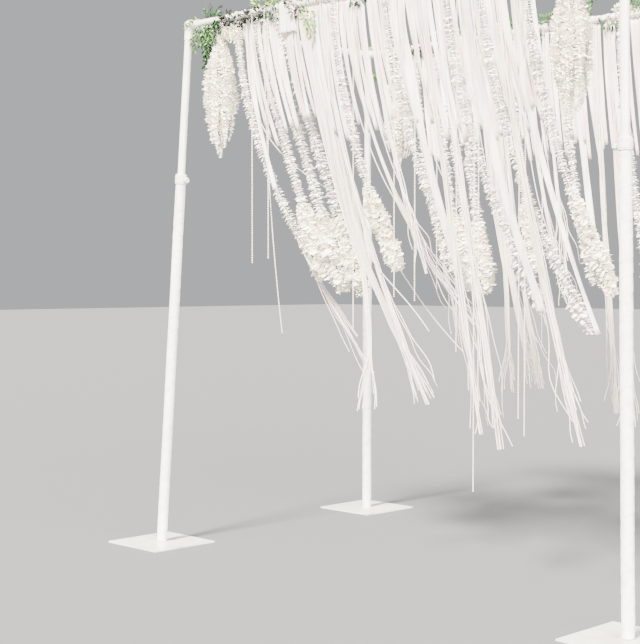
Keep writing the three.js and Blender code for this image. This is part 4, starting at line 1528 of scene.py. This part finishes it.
def knob_parts(corner):
    """The fluted grip of a clamp knob and its stud."""
    start = COLLAR_RADIUS * math.cos(math.pi / POST_SIDES) + GAP
    base = start + KNOB_STUD
    end = base + KNOB_LENGTH
    r = KNOB_RADIUS
    grip = turned([
        (NEAR_AXIS, base), (r * 0.72, base), (r * 0.80, base + 0.004), (r * 0.97, base + 0.007),
        (r, base + 0.009), (r, end - 0.004), (r * 0.95, end - 0.0015), (r * 0.86, end),
        (r * 0.4, end), (r * 0.36, end - 0.0012), (NEAR_AXIS, end - 0.0012)],
        96, lobes=8, depth=0.13)
    stud = turned([(NEAR_AXIS, start), (0.005, start), (0.005, base), (NEAR_AXIS, base)], 24)
    turn = aimed((0, -CORNERS[corner][1], 0), (0, 0, KNOB_HEIGHT))
    return [placed(grip, turn), placed(stud, turn)]


def make_leg(corner, seed):
    """The post of a corner: the wound tube with its collar and knob, and the tube in it."""
    foot, head = leg_line(corner)
    matrix = aimed((head - foot).normalized(), foot)
    body = f"leg_{corner}"
    lower = pipe(LOWER_BORE, LOWER_TUBE, LOWER_START, LOWER_TOP)
    cloth = wound_strip(LOWER_START, COLLAR_START - 0.001, *POST_WINDING, seed)
    upper = pipe(UPPER_BORE, UPPER_RADIUS, UPPER_START, (head - foot).length - SOCKET_DEPTH)
    for name, parts, material, carrier, slot, node in (
            ("wound_post", [lower, cloth], WOUND, body, "wound_cloth", "lower_post"),
            ("moulded_collar", [collar()], NYLON, body, "collar", "lock_collar"),
            ("clamp_knob", knob_parts(corner), NYLON, body, "collar", "lock_knob"),
            ("inner_tube", [upper], TUBE, "head_frame", "tube", "upper_post")):
        keep_piece(f"{name}_{corner}", [placed(p, matrix) for p in parts], material, carrier,
                   slot, f"{node}_{corner}")


def fitting(corner):
    """A cast corner: a ball with three sockets, each with a rim and a clamp screw."""
    foot, head = leg_line(corner)
    x, y = CORNERS[corner]
    parts = [ellipsoid(head, (HUB_RADIUS,) * 3, 28, 18)]
    ways = [
        (Vector((-x, 0, 0)), RAIL_RADIUS), (Vector((0, -y, 0)), RAIL_RADIUS),
        ((foot - head).normalized(), UPPER_RADIUS)]
    for direction, bore in ways:
        matrix = aimed(direction, head)
        clear = bore + CLEARANCE
        parts.append(placed(turned([
            (clear, SOCKET_DEPTH), (CLEARANCE, SOCKET_DEPTH), (CLEARANCE, SOCKET_START),
            (SOCKET_RADIUS - 0.001, SOCKET_START), (SOCKET_RADIUS - 0.001, SOCKET_REACH - 0.012),
            (SOCKET_RADIUS, SOCKET_REACH - 0.010), (SOCKET_RADIUS, SOCKET_REACH - 0.001),
            (SOCKET_RADIUS - 0.001, SOCKET_REACH), (clear, SOCKET_REACH)], PIPE_SIDES), matrix))
        screw = turned([
            (NEAR_AXIS, 0.024), (0.0045, 0.024), (0.0045, 0.0295), (0.0035, 0.0305),
            (NEAR_AXIS, 0.0305)], 6)
        seat = matrix @ Matrix.Translation((0, 0, 0.070)) @ Matrix.Rotation(math.pi / 2, 4, "X")
        parts.append(placed(screw, seat))
    keep_piece(f"cast_corner_{corner}", parts, TUBE, "head_frame", "tube", f"corner_fitting_{corner}")


def rail(kind, which, direction, centre, half, seed):
    """One head rail with the ribbon wound round it."""
    length = 2 * half - 2 * SOCKET_DEPTH
    matrix = aimed(direction, centre) @ Matrix.Translation((0, 0, -length / 2))
    mouth = SOCKET_REACH - SOCKET_DEPTH
    parts = [
        pipe(RAIL_BORE, RAIL_TUBE, 0, length),
        wound_strip(mouth, length - mouth, *RAIL_WINDING, seed, 18)]
    keep_piece(f"wrapped_rail_{which}", [placed(p, matrix) for p in parts], RAIL_RIBBON, "head_frame",
               "tube", f"{kind}_rail_{which}")


for number, corner in enumerate(CORNERS):
    make_leg(corner, POST_SEED + number)
    fitting(corner)
    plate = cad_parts[f"foot_plate_{corner}"].data.materials
    plate.clear()
    plate.append(STEEL)

for side, (sign, _) in SIDES.items():
    rail("side", side, (0, 1, 0), (sign * RAIL_X, 0, RAIL_Z), BACK_Y, SIDE_RAIL_SEED + sign)
for end, sign in (("back", 1), ("front", -1)):
    rail("end", end, (1, 0, 0), (0, sign * BACK_Y, RAIL_Z), RAIL_X, END_RAIL_SEED + sign)


def strand_ties(side):
    """Loops of cotton string round the rail, one at each strand."""
    sign, _ = SIDES[side]
    strands = [s[0] for group in GARLANDS for s in group]
    strands += [s[0] for s in BUNDLES + RIBBONS + LOOSE_STRINGS]
    loops = []
    for k, at in enumerate(sorted(strands)):
        t = np.linspace(0, TIE_TURNS * 2 * math.pi, 30)
        radius = RAIL_RADIUS + 0.0035
        loops.append(np.stack([
            sign * RAIL_X + radius * np.cos(t + k),
            BACK_Y - at + 0.006 * t / (2 * math.pi) - 0.006,
            RAIL_Z + radius * np.sin(t + k)], axis=1))
    hang(strings(f"strand_ties_{side}", loops, [0.6] * len(loops), 0.005, 4), "curtain")


for side in SIDES:
    strand_ties(side)

for pattern in PATTERNS:
    bpy.data.objects.remove(pattern)


# Floor and light

DAYLIGHT = (1.0, 0.89, 0.72)


def make_stage():
    """A plain floor and an even grey sky."""
    size = 60
    points = [(x * size, y * size, -0.001) for x, y in ((-1, -1), (1, -1), (1, 1), (-1, 1))]
    floor = make_piece("floor", points, [(0, 1, 2, 3)], plain_floor(), smooth=False)
    world = bpy.data.worlds.new("studio")
    world.use_nodes = True
    world.node_tree.nodes.clear()
    shade = add(world.node_tree, "ShaderNodeBackground", inputs={
        "Color": linear("#BFC0C2"), "Strength": 1.0})
    add(world.node_tree, "ShaderNodeOutputWorld", inputs={"Surface": out(shade)})
    bpy.context.scene.world = world


def make_light(name, direction, energy, softness):
    """A soft lamp that shines along a direction."""
    data = bpy.data.lights.new(name, "SUN")
    data.energy = energy
    data.color = DAYLIGHT
    data.angle = math.radians(softness)
    lamp = link(bpy.data.objects.new(name, data))
    lamp.rotation_euler = Vector(direction).to_track_quat("-Z", "Y").to_euler()


make_stage()
make_light("key_light", (0.85, 0.15, -0.90), 27.0, 12)
make_light("fill_light", (0.35, 0.90, -0.35), 13.5, 50)
